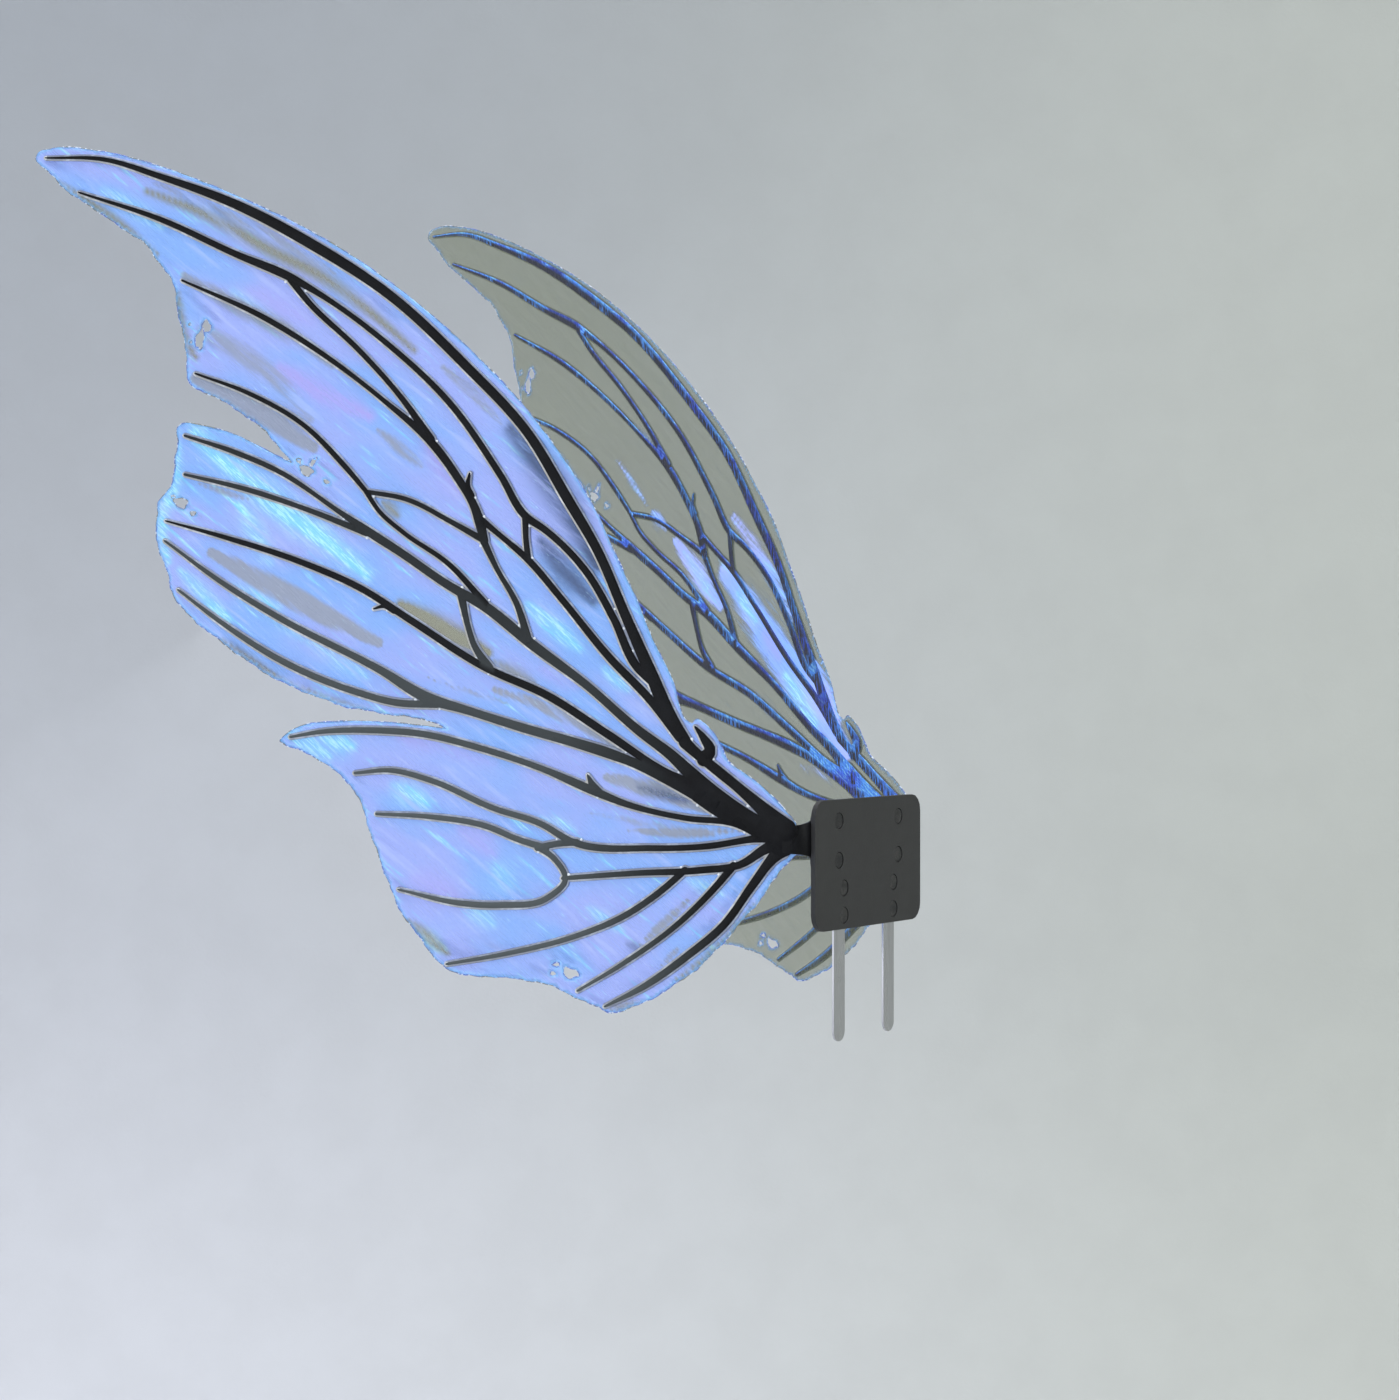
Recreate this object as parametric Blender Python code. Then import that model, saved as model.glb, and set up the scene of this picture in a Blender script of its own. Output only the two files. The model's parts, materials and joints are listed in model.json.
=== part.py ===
"""Fairy wings worn at the back: two flat wings of black vein sheet with clear film bonded to
their inner faces, each on a springy bent neck that is clamped to one back plate.

Axes: +X to the wearer's left, +Y behind the wearer, +Z up.
Origin: on the back plate's front face, which lies on the wearer's back, between the necks.
Wing drawings are in millimetres on the wing's own plane: s runs from the neck to the tip,
t runs up. Each wing is drawn once, and the left wing mirrors the right one.
"""
import math

import bmesh
import bpy
from mathutils import Matrix, Vector, geometry

MM = 0.001

# ---------------------------------------------------------------- driving dimensions (mm)
NECK_X = 75.7            # half the distance between the two necks
SWEEP_DEG = 73.4         # wing plane, swept back from sideways
LEAN_DEG = 2.1           # top of each wing leans in towards the other
SHEET = 1.6              # vein and neck sheet thickness
FILM = 0.4               # film thickness
GAP = 0.3                # clearance between pieces that touch
FLEX_GAP = 0.8           # clearance across the flex line
BEND_RADIUS = 9.0        # neck bend, to the middle of the sheet
TAB_END_X = 14.0         # inner end of the root tab
TAB_HALF_HEIGHT = 17.0
NECK_MID = 2.0           # height of the neck's middle above the wing drawing's zero
NECK_HALF_HEIGHT = 8.2
PLATE_THICK = 3.0
PLATE_HALF_WIDTH = 64.0
PLATE_TOP = 24.0
PLATE_BOTTOM = -52.0
CLAMP_INNER_X = 17.0
CLAMP_OUTER_X = 56.0
STAY_X = 30.0
STAY_WIDTH = 13.0
STAY_THICK = 1.4
STAY_TOP = -20.5
STAY_BOTTOM = -118.0
POST_BARREL_R = 2.1
POST_HEAD_R = 4.6
POST_HEAD_THICK = 1.3
POST_BORE_R = 1.5
SCREW_SHANK_R = 1.15
SCREW_HEAD_R = 4.0
SCREW_HEAD_THICK = 1.7
CLAMP_POST_Z = {"upper": 11.5, "lower": -11.5}
CLAMP_POST_X = 36.0
STAY_POST_Z = {"upper": -28.0, "lower": -44.0}

# The tab's middle plane, and the faces stacked on each side of it, along Y.
NECK_Y = PLATE_THICK + GAP + SHEET / 2 + BEND_RADIUS * (1 - math.cos(math.radians(SWEEP_DEG)))
TAB_Y = PLATE_THICK + GAP + SHEET / 2
CLAMP_Y = TAB_Y + SHEET / 2 + GAP
STAY_Y = PLATE_THICK + GAP

# ---------------------------------------------------------------- veins: (s, t, width)
# A smooth curve runs through each list, and the width tapers from point to point.
VEINS = {
    "upper_trunk": [(-2, 4, 15), (8, 12.5, 11), (20, 23, 7.4), (30, 31.2, 6), (42, 40.5, 6),
                    (55, 50.6, 6), (63, 57.5, 7)],
    "root_hook": [(51, 48, 9), (47.6, 53, 7), (51.5, 60, 4.5), (56.5, 66.4, 1.4)],
    "costa": [(60, 55, 6), (70, 69, 8), (84, 98, 7.5), (99, 130, 6), (117.4, 170, 5.6),
              (135.9, 200, 6.2), (161.5, 240, 5.6), (200, 280, 5.6), (250, 324.7, 5.7),
              (300, 356.7, 6.4), (350, 383, 5.6), (400, 402.2, 3.8), (440, 415, 2.6),
              (479, 417.7, 1.0)],
    "second": [(83, 92, 4), (92, 101, 5), (107, 130, 4.5), (124.6, 158, 4.2), (150, 182.3, 4),
               (161.5, 190, 4.5), (177.7, 214.6, 4), (209.7, 257.7, 3.8), (251, 295.4, 3.3),
               (299.8, 329.5, 3.8), (314, 337.4, 5), (350, 352.8, 4), (400, 375.9, 3.3),
               (455.8, 395.1, 1.2)],
    "second_fork": [(314, 336, 4), (302, 322, 3.6), (269, 292, 3.2), (240, 261, 3.4),
                    (222, 237, 5)],
    "third": [(385.3, 338, 1.3), (330, 313, 3.4), (287.6, 287, 3), (252, 260.7, 2.8),
              (221, 234.5, 5), (204.8, 213.8, 4.8), (194.3, 197, 5), (190.5, 187, 6),
              (187.5, 175.5, 5)],
    "third_thorn": [(196, 203, 4), (198.4, 208.5, 3.2), (197.2, 216.3, 1.2)],
    "inner": [(66, 60, 5), (83, 81, 5), (109.6, 107.3, 4.5), (139.6, 142, 3.9),
              (160.5, 165, 4), (180, 181, 3.2), (190, 189, 4)],
    "cross_stub": [(162, 189, 4), (161.6, 178, 3.3), (160, 165, 3.8)],
    "eye_feeder": [(189, 178, 4.5), (180, 160.4, 3), (166.2, 137.3, 3.6), (159.5, 117.5, 5)],
    "eye_upper": [(188, 176.5, 4), (208.5, 187.6, 3), (237.7, 201.7, 2.8), (263, 206.5, 2.6)],
    "eye_lower": [(263, 206.5, 2.8), (254.8, 195, 2.6), (239, 181.8, 2.6), (210, 162.7, 3),
                  (186, 138.5, 4)],
    "fourth": [(261, 204.5, 2.6), (276.7, 221.8, 3.2), (304.7, 248, 2.8), (340, 267.5, 2.6),
               (375.6, 280.6, 1.2)],
    "fifth": [(382, 242.7, 1.5), (350, 232.4, 3), (319.5, 219.6, 3), (280, 194.6, 3),
              (262, 183, 5), (240, 169.5, 4.8), (210, 150, 5), (187, 137.3, 6),
              (155.8, 113.7, 6), (123.5, 91, 4.8), (90.6, 64, 5.4), (71.3, 50.3, 6.5),
              (57, 37.8, 8), (42, 27.5, 6), (22, 13.5, 8), (4, 3, 12)],
    "fifth_fork": [(381.7, 219, 1.6), (340, 209, 3), (300, 196, 3), (262, 181.5, 4)],
    "sixth": [(52, 30.5, 7), (71.3, 38.6, 5), (109.8, 62, 4.8), (146.5, 84.2, 4.6),
              (187, 101.5, 4.4), (233, 129, 4.2), (265.6, 148.5, 4), (304, 164.5, 3.6),
              (355.4, 180.5, 2.8), (394, 190.8, 1)],
    "sixth_thorn": [(244, 135, 4), (250.5, 137.8, 2.6), (257, 136.2, 1)],
    "link": [(202, 145.5, 5), (197, 125, 3.3), (193.5, 115, 3.6), (183.5, 100.5, 5.5)],
    "seventh": [(46, 23, 9), (71.3, 35.5, 7), (95, 46, 5.6), (110, 51.2, 6.2), (130, 57, 5.6),
                (160.4, 65, 5.2), (200, 76.5, 5), (221, 82.5, 6.5), (252.8, 99.7, 4.5),
                (317, 130.5, 3.6), (355.4, 152.3, 3), (394.5, 178.6, 1.3)],
    "seventh_fork": [(216, 79.2, 4.5), (241, 80, 4), (268, 86.5, 3.8), (317, 105.5, 3.7),
                     (355.4, 128, 2.8), (385, 148.5, 1.4)],
    "hub_web": [(8, 5, 12), (26, 12, 9), (40, 18.5, 10), (55, 27.5, 9)],
    "hind_leading": [(18, 6.5, 8), (30, 10.6, 5), (61.7, 13.6, 3.3), (100, 22, 3.8),
                     (119, 29.2, 5), (150, 41.5, 3.6), (190, 53.7, 3.6), (225, 61.5, 3.8),
                     (254.6, 63.5, 3.6), (290, 62.5, 2.6), (309.8, 59.3, 1.5)],
    "hind_thorn": [(113, 27, 4), (118.8, 32.4, 4), (121.6, 38, 1.2)],
    "hind_middle": [(4, 4, 9), (18, 2.6, 5), (49, -2.5, 3.6), (81.7, -4.1, 3.5),
                    (131, -1, 4), (150, 9, 3.5), (180, 18, 3.3), (219.6, 34, 3.2),
                    (245, 39.7, 2.8), (267.8, 37.9, 1.6)],
    "hind_step": [(128, -1.4, 4), (140, -2.4, 3.6), (152, -5, 4)],
    "hind_bowl": [(151.5, -4.6, 4), (142.8, -10.2, 3.2), (134.6, -23, 3.2), (147, -35, 3.4),
                  (173.8, -39, 3.5), (200.8, -38.3, 3.2), (239.1, -31.1, 1.2)],
    "hind_shelf": [(147, -5, 4), (164.4, -0.2, 3.4), (183.3, 7, 3.4), (220, 12.4, 2.8),
                   (253.6, 13.7, 1.6)],
    "hind_lower": [(2, 2, 9), (14, -3.5, 6), (28, -12.4, 4.4), (52, -16.3, 4),
                   (90.6, -18.7, 3.3), (136, -22.5, 2.6)],
    "hind_anal": [(33, -13.5, 4.6), (43.6, -26, 4), (65.4, -47.3, 3.3), (100.3, -72.4, 2.6),
                  (126.4, -88, 1.4)],
    "hind_branch": [(62, -16.5, 4), (74, -27, 3.8), (98, -43.5, 3.6), (130.5, -57, 3),
                    (170, -67.3, 2.6), (207.8, -74.5, 1.6)],
    "hind_trailing": [(-1, 1, 14), (8, -7, 7.5), (21.8, -25, 5), (38, -47.3, 4.6),
                      (60, -66, 4.4), (86, -84.4, 3.6), (109.5, -96.6, 1.4)],
}

# ---------------------------------------------------------------- film edge and its holes
# Corner points end one smooth stretch of the film's edge and start the next.
FILM_EDGE = [
    [(2, 18), (11.7, 28.5), (28, 41), (38.7, 49.6), (43.5, 60.2), (50, 68), (56, 71.3),
     (58.8, 68.4)],
    [(58.8, 68.4), (64, 73), (70, 92), (87.7, 127), (105, 165), (125.8, 205.4), (150, 240),
     (179, 273.5), (223, 312), (271.8, 346.6), (320, 375.3), (380, 401), (440, 420),
     (475, 423.6), (485.6, 420), (482.7, 413)],
    [(482.7, 413), (450, 387.4), (420.5, 368), (403.8, 352.8), (391.5, 336), (387.8, 314.4),
     (382, 288.7), (377, 272)],
    [(377, 272), (352.6, 260.3), (329.7, 244), (318.8, 233.7), (311.5, 224.7)],
    [(311.5, 224.7), (340, 238.8), (376, 250), (387.6, 246), (386.8, 239.5)],
    [(386.8, 239.5), (388.7, 221.5), (398, 204), (401, 188), (395, 165), (385, 140),
     (363, 121.5), (329.7, 99.7), (288.7, 81.2), (240, 72), (210, 64.7)],
    [(210, 64.7), (254.6, 68.9), (293.6, 67.8), (310, 63.5), (317.2, 57)],
    [(317.2, 57), (297.7, 48.9), (274.8, 34), (261.3, 12.6), (252.6, -11), (240.5, -39),
     (219, -66.8), (206, -78.5)],
    [(206, -78.5), (160.5, -82.7), (132, -90.3), (106.8, -100), (80.6, -91), (51.2, -70.8),
     (25, -42.4), (6.5, -18.5), (2, -11.8)],
]
FILM_HOLES = [          # centre s, centre t, length along s, length along t
    (369, 309, 7, 8), (373, 301.5, 6, 10), (302, 219.6, 9, 5.5), (384.2, 201.7, 10, 7),
    (376.3, 194.6, 4, 3), (131.3, -77.9, 10, 6), (142, -78.4, 4, 2.6),
]

MATERIALS = {            # colour, roughness, metallic
    "black_sheet": ((0.010, 0.010, 0.012, 1), 0.28, 0.0),
    "film": ((0.36, 0.42, 0.72, 1), 0.12, 0.0),
    "plate_black": ((0.020, 0.020, 0.022, 1), 0.45, 0.0),
    "black_oxide": ((0.060, 0.060, 0.065, 1), 0.35, 0.9),
    "spring_steel": ((0.55, 0.56, 0.58, 1), 0.30, 1.0),
}


# ---------------------------------------------------------------- small helpers
def clear_scene():
    for item in list(bpy.data.objects):
        bpy.data.objects.remove(item, do_unlink=True)


def material(name):
    found = bpy.data.materials.get(name)
    if found:
        return found
    made = bpy.data.materials.new(name)
    made.use_nodes = True
    shader = made.node_tree.nodes["Principled BSDF"]
    colour, roughness, metallic = MATERIALS[name]
    shader.inputs["Base Color"].default_value = colour
    shader.inputs["Roughness"].default_value = roughness
    shader.inputs["Metallic"].default_value = metallic
    return made


def add_object(name, mesh, material_name, parent=None):
    made = bpy.data.objects.new(name, mesh)
    bpy.context.collection.objects.link(made)
    mesh.materials.append(material(material_name))
    if parent:
        made.parent = parent
    return made


def mesh_from(bm, name):
    bmesh.ops.remove_doubles(bm, verts=bm.verts, dist=0.00001)
    bmesh.ops.recalc_face_normals(bm, faces=bm.faces)
    mesh = bpy.data.meshes.new(name)
    bm.to_mesh(mesh)
    bm.free()
    return mesh


def hermite(start, end, leave, arrive, u):
    """A cubic from start to end with the given slopes at its ends, at the share u."""
    return [(2 * u ** 3 - 3 * u * u + 1) * a + (u ** 3 - 2 * u * u + u) * p
            + (3 * u * u - 2 * u ** 3) * b + (u ** 3 - u * u) * q
            for a, b, p, q in zip(start, end, leave, arrive)]


def smooth_curve(points, turn_step_deg=11.0):
    """Points along a smooth curve through the given ones, closer together where it turns.

    The slope at a point is the mean of the chords beside it, weighted to the nearer one."""
    gaps = [math.dist(a[:2], b[:2]) for a, b in zip(points, points[1:])]
    chords = [[(q - p) / gap for p, q in zip(a, b)] for a, b, gap in zip(points, points[1:], gaps)]
    slopes = [chords[0]]
    for before, after, short, long in zip(chords, chords[1:], gaps, gaps[1:]):
        slopes.append([(p * long + q * short) / (short + long) for p, q in zip(before, after)])
    slopes.append(chords[-1])
    curve = [tuple(points[0])]
    for k, gap in enumerate(gaps):
        leave, arrive = [[v * gap for v in slopes[j]] for j in (k, k + 1)]
        turn = math.degrees(Vector(leave[:2]).angle(Vector(arrive[:2])))
        steps = max(1, math.ceil(turn / turn_step_deg))
        curve += [tuple(hermite(points[k], points[k + 1], leave, arrive, step / steps))
                  for step in range(1, steps + 1)]
    return curve


def strip_outline(vein):
    """The outline of a tapered strip: the curve offset by half its width on each side."""
    curve = smooth_curve(vein)
    left, right = [], []
    for k, (s, t, width) in enumerate(curve):
        before, after = curve[max(k - 1, 0)], curve[min(k + 1, len(curve) - 1)]
        along = Vector((after[0] - before[0], after[1] - before[1])).normalized()
        across = Vector((-along.y, along.x)) * max(width, 0.8) / 2
        left.append((s + across.x, t + across.y))
        right.append((s - across.x, t - across.y))
    return left + right[::-1]


def oval_outline(s, t, length, height, sides=8):
    return [(s + length / 2 * math.cos(math.tau * k / sides),
             t + height / 2 * math.sin(math.tau * k / sides)) for k in range(sides)]


def flat_region(shapes, cuts=()):
    """The plane region covered by any shape and by no cut, as corner points and triangles."""
    points, loops = [], []
    for outline in list(shapes) + list(cuts):
        area = sum(a[0] * b[1] - b[0] * a[1] for a, b in zip(outline, outline[1:] + outline[:1]))
        ordered = outline if area > 0 else outline[::-1]
        loops.append(list(range(len(points), len(points) + len(ordered))))
        points += [Vector(p) for p in ordered]
    corners, _, faces, _, _, origins = geometry.delaunay_2d_cdt(points, [], loops, 1, 0.02)
    kept = [face for face, origin in zip(faces, origins)
            if any(k < len(shapes) for k in origin) and not any(k >= len(shapes) for k in origin)]
    return corners, kept


def sheet_mesh(name, shapes, low, high, place, cuts=()):
    """A plate of the region's outline, from low to high along the sheet's normal."""
    corners, faces = flat_region(shapes, cuts)
    bm = bmesh.new()
    used = sorted({k for face in faces for k in face})
    verts = {k: bm.verts.new((corners[k].x, corners[k].y, low)) for k in used}
    for face in faces:
        bm.faces.new([verts[k] for k in face])
    bmesh.ops.dissolve_limit(bm, angle_limit=0.01, verts=bm.verts, edges=bm.edges)
    bmesh.ops.triangulate(bm, faces=bm.faces)
    grown = bmesh.ops.extrude_face_region(bm, geom=bm.faces[:])
    lifted = [item for item in grown["geom"] if isinstance(item, bmesh.types.BMVert)]
    bmesh.ops.translate(bm, verts=lifted, vec=(0, 0, high - low))
    for vert in bm.verts:
        vert.co = place @ vert.co
    return mesh_from(bm, name)


def box_mesh(name, low, high, corner=0.0):
    """A plate lying across Y, in mm, with its four upright corners rounded in X and Z."""
    bm = bmesh.new()
    bmesh.ops.create_cube(bm, size=1.0)
    size = [b - a for a, b in zip(low, high)]
    for vert in bm.verts:
        vert.co = Vector([(a + (c + 0.5) * d) * MM for a, c, d in zip(low, vert.co, size)])
    if corner:
        edges = [edge for edge in bm.edges
                 if abs((edge.verts[0].co - edge.verts[1].co).y) > 0.5 * size[1] * MM]
        bmesh.ops.bevel(bm, geom=edges, offset=corner * MM, segments=4, profile=0.5,
                        affect="EDGES")
    return mesh_from(bm, name)


def turned_mesh(name, profile, x, z, sides=16):
    """A closed profile of (radius, y) points, in mm, turned about a line along Y at x, z."""
    bm = bmesh.new()
    rings = []
    for k in range(sides):
        angle = math.tau * k / sides
        rings.append([bm.verts.new(((x + r * math.cos(angle)) * MM, y * MM,
                                    (z + r * math.sin(angle)) * MM)) for r, y in profile])
    for ring, following in zip(rings, rings[1:] + rings[:1]):
        for a, b, c, d in zip(ring, ring[1:], following[1:], following):
            bm.faces.new((a, b, c, d))
    return mesh_from(bm, name)


def mirrored(mesh, name):
    """The other side's mesh: X turned over, with its faces turned back to point out."""
    copy = mesh.copy()
    copy.name = name
    copy.transform(Matrix.Scale(-1, 4, (1, 0, 0)))
    copy.flip_normals()
    return copy


# ---------------------------------------------------------------- the wing's own plane
def wing_placement():
    """Drawing millimetres (s, t, n) to metres: s swept back, t up with the lean, n inwards."""
    sweep, lean = math.radians(SWEEP_DEG), math.radians(LEAN_DEG)
    along = Vector((-math.cos(sweep), math.sin(sweep), 0))
    outward = Vector((-math.sin(sweep), -math.cos(sweep), 0))
    up = Vector((0, 0, 1)) * math.cos(lean) - outward * math.sin(lean)
    normal = along.cross(up).normalized()
    turn = Matrix((along, up, normal)).transposed().to_4x4()
    return Matrix.Translation(neck_point()) @ turn @ Matrix.Scale(MM, 4)


def neck_point():
    return Vector((-NECK_X, NECK_Y, 0)) * MM


def wing_meshes():
    place = wing_placement()
    veins = [strip_outline(vein) for vein in VEINS.values()]
    beyond_flex = [(-30, -30), (FLEX_GAP / 2, -30), (FLEX_GAP / 2, 40), (-30, 40)]
    edge = []
    for stretch in FILM_EDGE:
        edge += [(s, t) for s, t in smooth_curve(stretch)[:-1]]
    edge.append(FILM_EDGE[-1][-1])
    holes = [oval_outline(*hole) for hole in FILM_HOLES]
    near = SHEET / 2 + GAP
    frame = sheet_mesh("vein_frame", veins, -SHEET / 2, SHEET / 2, place, [beyond_flex])
    film = sheet_mesh("film", [edge], near, near + FILM, place, holes)
    return frame, film


# ---------------------------------------------------------------- the bent neck and its tab
def neck_mesh():
    """One sheet carried round the bend and along the tab, its height flaring as it goes.

    Each station is a point on the sheet's middle line, its outward direction, its up
    direction and its lower and upper half heights."""
    sweep = math.radians(SWEEP_DEG)
    centre = Vector((-NECK_X + BEND_RADIUS * math.sin(sweep),
                     NECK_Y + BEND_RADIUS * math.cos(sweep), 0))
    lean = math.tan(math.radians(LEAN_DEG))
    bend_steps, tab_steps = 7, 6
    stations = []
    for k in range(bend_steps + 1):
        share = k / bend_steps
        angle = sweep * (1 - share)
        outward = Vector((-math.sin(angle), -math.cos(angle), 0))
        point = centre + outward * BEND_RADIUS
        if k == 0:
            point += Vector((math.cos(sweep), -math.sin(sweep), 0)) * FLEX_GAP / 2
        upright = Vector((0, 0, 1)) - outward * lean * (1 - share)
        stations.append((point, outward, upright, NECK_HALF_HEIGHT + 1.3 * share * share))
    bend_end = stations[-1][0].x
    for k in range(1, tab_steps + 1):
        share = k / tab_steps
        point = Vector((bend_end + (-TAB_END_X - bend_end) * share, TAB_Y, 0))
        ease = min(1.0, share * 3)
        ease = ease * ease * (3 - 2 * ease)
        half = NECK_HALF_HEIGHT + 1.3 + (TAB_HALF_HEIGHT - NECK_HALF_HEIGHT - 1.3) * ease
        stations.append((point, Vector((0, -1, 0)), Vector((0, 0, 1)), half))
    bm = bmesh.new()
    rings = []
    for k, (point, outward, upright, half) in enumerate(stations):
        mid = NECK_MID * max(0.0, 1 - k / bend_steps)
        ring = []
        for side, rise in ((1, 1), (1, -1), (-1, -1), (-1, 1)):
            place = point + outward * side * SHEET / 2 + upright * (mid + rise * half)
            ring.append(bm.verts.new(place * MM))
        rings.append(ring)
    for ring, following in zip(rings, rings[1:]):
        for k in range(4):
            bm.faces.new((ring[k], ring[(k + 1) % 4], following[(k + 1) % 4], following[k]))
    bm.faces.new(rings[0])
    bm.faces.new(rings[-1][::-1])
    return mesh_from(bm, "neck")


# ---------------------------------------------------------------- fasteners and holes
def drilled(item, cutters):
    for cutter in cutters:
        cut = item.modifiers.new("hole", "BOOLEAN")
        cut.operation = "DIFFERENCE"
        cut.solver = "EXACT"
        cut.object = cutter
    return item


def hole_cutter(name, x, z, recessed):
    """A round cutter through the whole stack, with the post head's recess at its front."""
    radius = POST_BARREL_R + GAP
    profile = [(0, -5), (radius, -5), (radius, 20), (0, 20)]
    if recessed:
        wide, depth = POST_HEAD_R + GAP, POST_HEAD_THICK + 2 * GAP
        profile[1:2] = [(wide, -5), (wide, depth), (radius, depth)]
    cutter = bpy.data.objects.new(name, turned_mesh(name, profile, x, z))
    bpy.context.collection.objects.link(cutter)
    cutter.hide_render = True
    cutter.display_type = "WIRE"
    return cutter


def add_post(name, x, z, rear_y):
    """A binding post from the plate's front to the clamped stack's rear, and its screw."""
    head_y = GAP
    seat_y = head_y + POST_HEAD_THICK
    end_y = rear_y - GAP
    bore_y = seat_y + 0.6
    post = [(0, head_y), (POST_HEAD_R, head_y), (POST_HEAD_R, seat_y), (POST_BARREL_R, seat_y),
            (POST_BARREL_R, end_y), (POST_BORE_R, end_y), (POST_BORE_R, bore_y), (0, bore_y)]
    add_object(name + "_post", turned_mesh(name + "_post", post, x, z), "black_oxide")
    under_y = rear_y + GAP
    top_y = under_y + SCREW_HEAD_THICK
    slot = 0.5
    screw = [(0, bore_y + GAP), (SCREW_SHANK_R, bore_y + GAP), (SCREW_SHANK_R, under_y),
             (SCREW_HEAD_R, under_y), (SCREW_HEAD_R, top_y - slot), (SCREW_HEAD_R - slot, top_y),
             (0, top_y)]
    add_object(name + "_screw", turned_mesh(name + "_screw", screw, x, z), "black_oxide")


def post_places(side):
    """Every post on one side: its name, place and the rear face it clamps."""
    places = []
    for level, z in CLAMP_POST_Z.items():
        places.append(("clamp_" + level, side * CLAMP_POST_X, z, CLAMP_Y + PLATE_THICK))
    for level, z in STAY_POST_Z.items():
        places.append(("stay_" + level, side * STAY_X, z, STAY_Y + STAY_THICK))
    return places


# ---------------------------------------------------------------- the assembly
def build():
    clear_scene()
    frame, film = wing_meshes()
    neck = neck_mesh()
    plate_cutters = []
    for side, word in ((-1, "right"), (1, "left")):
        cutters = {}
        for label, x, z, rear_y in post_places(side):
            cutters[label] = hole_cutter(f"cut_{word}_{label}", x, z, recessed=False)
            plate_cutters.append(hole_cutter(f"cut_plate_{word}_{label}", x, z, recessed=True))
            add_post(f"{word}_{label}", x, z, rear_y)

        pivot = bpy.data.objects.new(word + "_flex_pivot", None)
        bpy.context.collection.objects.link(pivot)
        pivot.location = neck_point() if side < 0 else neck_point() * Vector((-1, 1, 1))
        for label, mesh, finish in (("vein_frame", frame, "black_sheet"), ("film", film, "film")):
            own = mesh.copy() if side < 0 else mirrored(mesh, label)
            own.transform(Matrix.Translation(-pivot.location))
            add_object(f"{word}_{label}", own, finish, pivot)

        own_neck = neck.copy() if side < 0 else mirrored(neck, "neck_left")
        clamp_cuts = [cutters["clamp_upper"], cutters["clamp_lower"]]
        drilled(add_object(word + "_neck", own_neck, "black_sheet"), clamp_cuts)

        ends = sorted((side * CLAMP_INNER_X, side * CLAMP_OUTER_X))
        bar = box_mesh(word + "_root_clamp", (ends[0], CLAMP_Y, -TAB_HALF_HEIGHT),
                       (ends[1], CLAMP_Y + PLATE_THICK, TAB_HALF_HEIGHT), 5.0)
        drilled(add_object(word + "_root_clamp", bar, "plate_black"), clamp_cuts)

        stay = box_mesh(word + "_stay",
                        (side * STAY_X - STAY_WIDTH / 2, STAY_Y, STAY_BOTTOM),
                        (side * STAY_X + STAY_WIDTH / 2, STAY_Y + STAY_THICK, STAY_TOP), 6.0)
        drilled(add_object(word + "_stay", stay, "spring_steel"),
                [cutters["stay_upper"], cutters["stay_lower"]])

    plate = box_mesh("back_plate", (-PLATE_HALF_WIDTH, 0, PLATE_BOTTOM),
                     (PLATE_HALF_WIDTH, PLATE_THICK, PLATE_TOP), 10.0)
    drilled(add_object("back_plate", plate, "plate_black"), plate_cutters)


build()
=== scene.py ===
import json
import math

import bmesh
import bpy
import numpy as np
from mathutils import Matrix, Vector


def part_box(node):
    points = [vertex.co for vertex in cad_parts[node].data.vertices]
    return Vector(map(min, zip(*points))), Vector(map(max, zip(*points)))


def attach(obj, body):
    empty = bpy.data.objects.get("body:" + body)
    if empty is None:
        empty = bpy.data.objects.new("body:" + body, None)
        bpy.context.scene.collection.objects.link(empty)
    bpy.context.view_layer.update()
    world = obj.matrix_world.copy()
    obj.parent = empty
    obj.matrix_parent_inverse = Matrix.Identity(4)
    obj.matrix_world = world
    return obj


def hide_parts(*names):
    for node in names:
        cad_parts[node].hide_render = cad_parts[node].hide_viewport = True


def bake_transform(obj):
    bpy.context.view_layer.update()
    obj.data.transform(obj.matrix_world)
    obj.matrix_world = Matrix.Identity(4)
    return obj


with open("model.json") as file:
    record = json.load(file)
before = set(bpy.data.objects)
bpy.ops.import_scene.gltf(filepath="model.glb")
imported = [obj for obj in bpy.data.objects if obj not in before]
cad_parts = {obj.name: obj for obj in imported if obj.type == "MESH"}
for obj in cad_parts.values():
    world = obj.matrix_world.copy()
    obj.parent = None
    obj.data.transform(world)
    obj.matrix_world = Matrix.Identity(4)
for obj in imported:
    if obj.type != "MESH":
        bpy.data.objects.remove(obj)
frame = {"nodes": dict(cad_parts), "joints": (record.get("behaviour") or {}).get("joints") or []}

for spare in ("Cube", "Light", "Camera"):
    if spare in bpy.data.objects:
        bpy.data.objects.remove(bpy.data.objects[spare])

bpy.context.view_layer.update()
mm = 0.001

wingPlane = {
    "sweepDeg": 73.4,        # swept back from sideways
    "leanDeg": 2.1,          # tops lean in towards each other
    "halfSheet": 0.8,        # half the vein sheet, mm
    "film": 1.05,            # film's distance behind the sheet's middle, mm
}
sides = {"right": -1.0, "left": 1.0}


# The flex joint's place, from the frame.
def hinge(side):
    return np.array(next(j["pos_m"] for j in frame["joints"] if j["name"] == side + "_wing_flex"))


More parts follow.
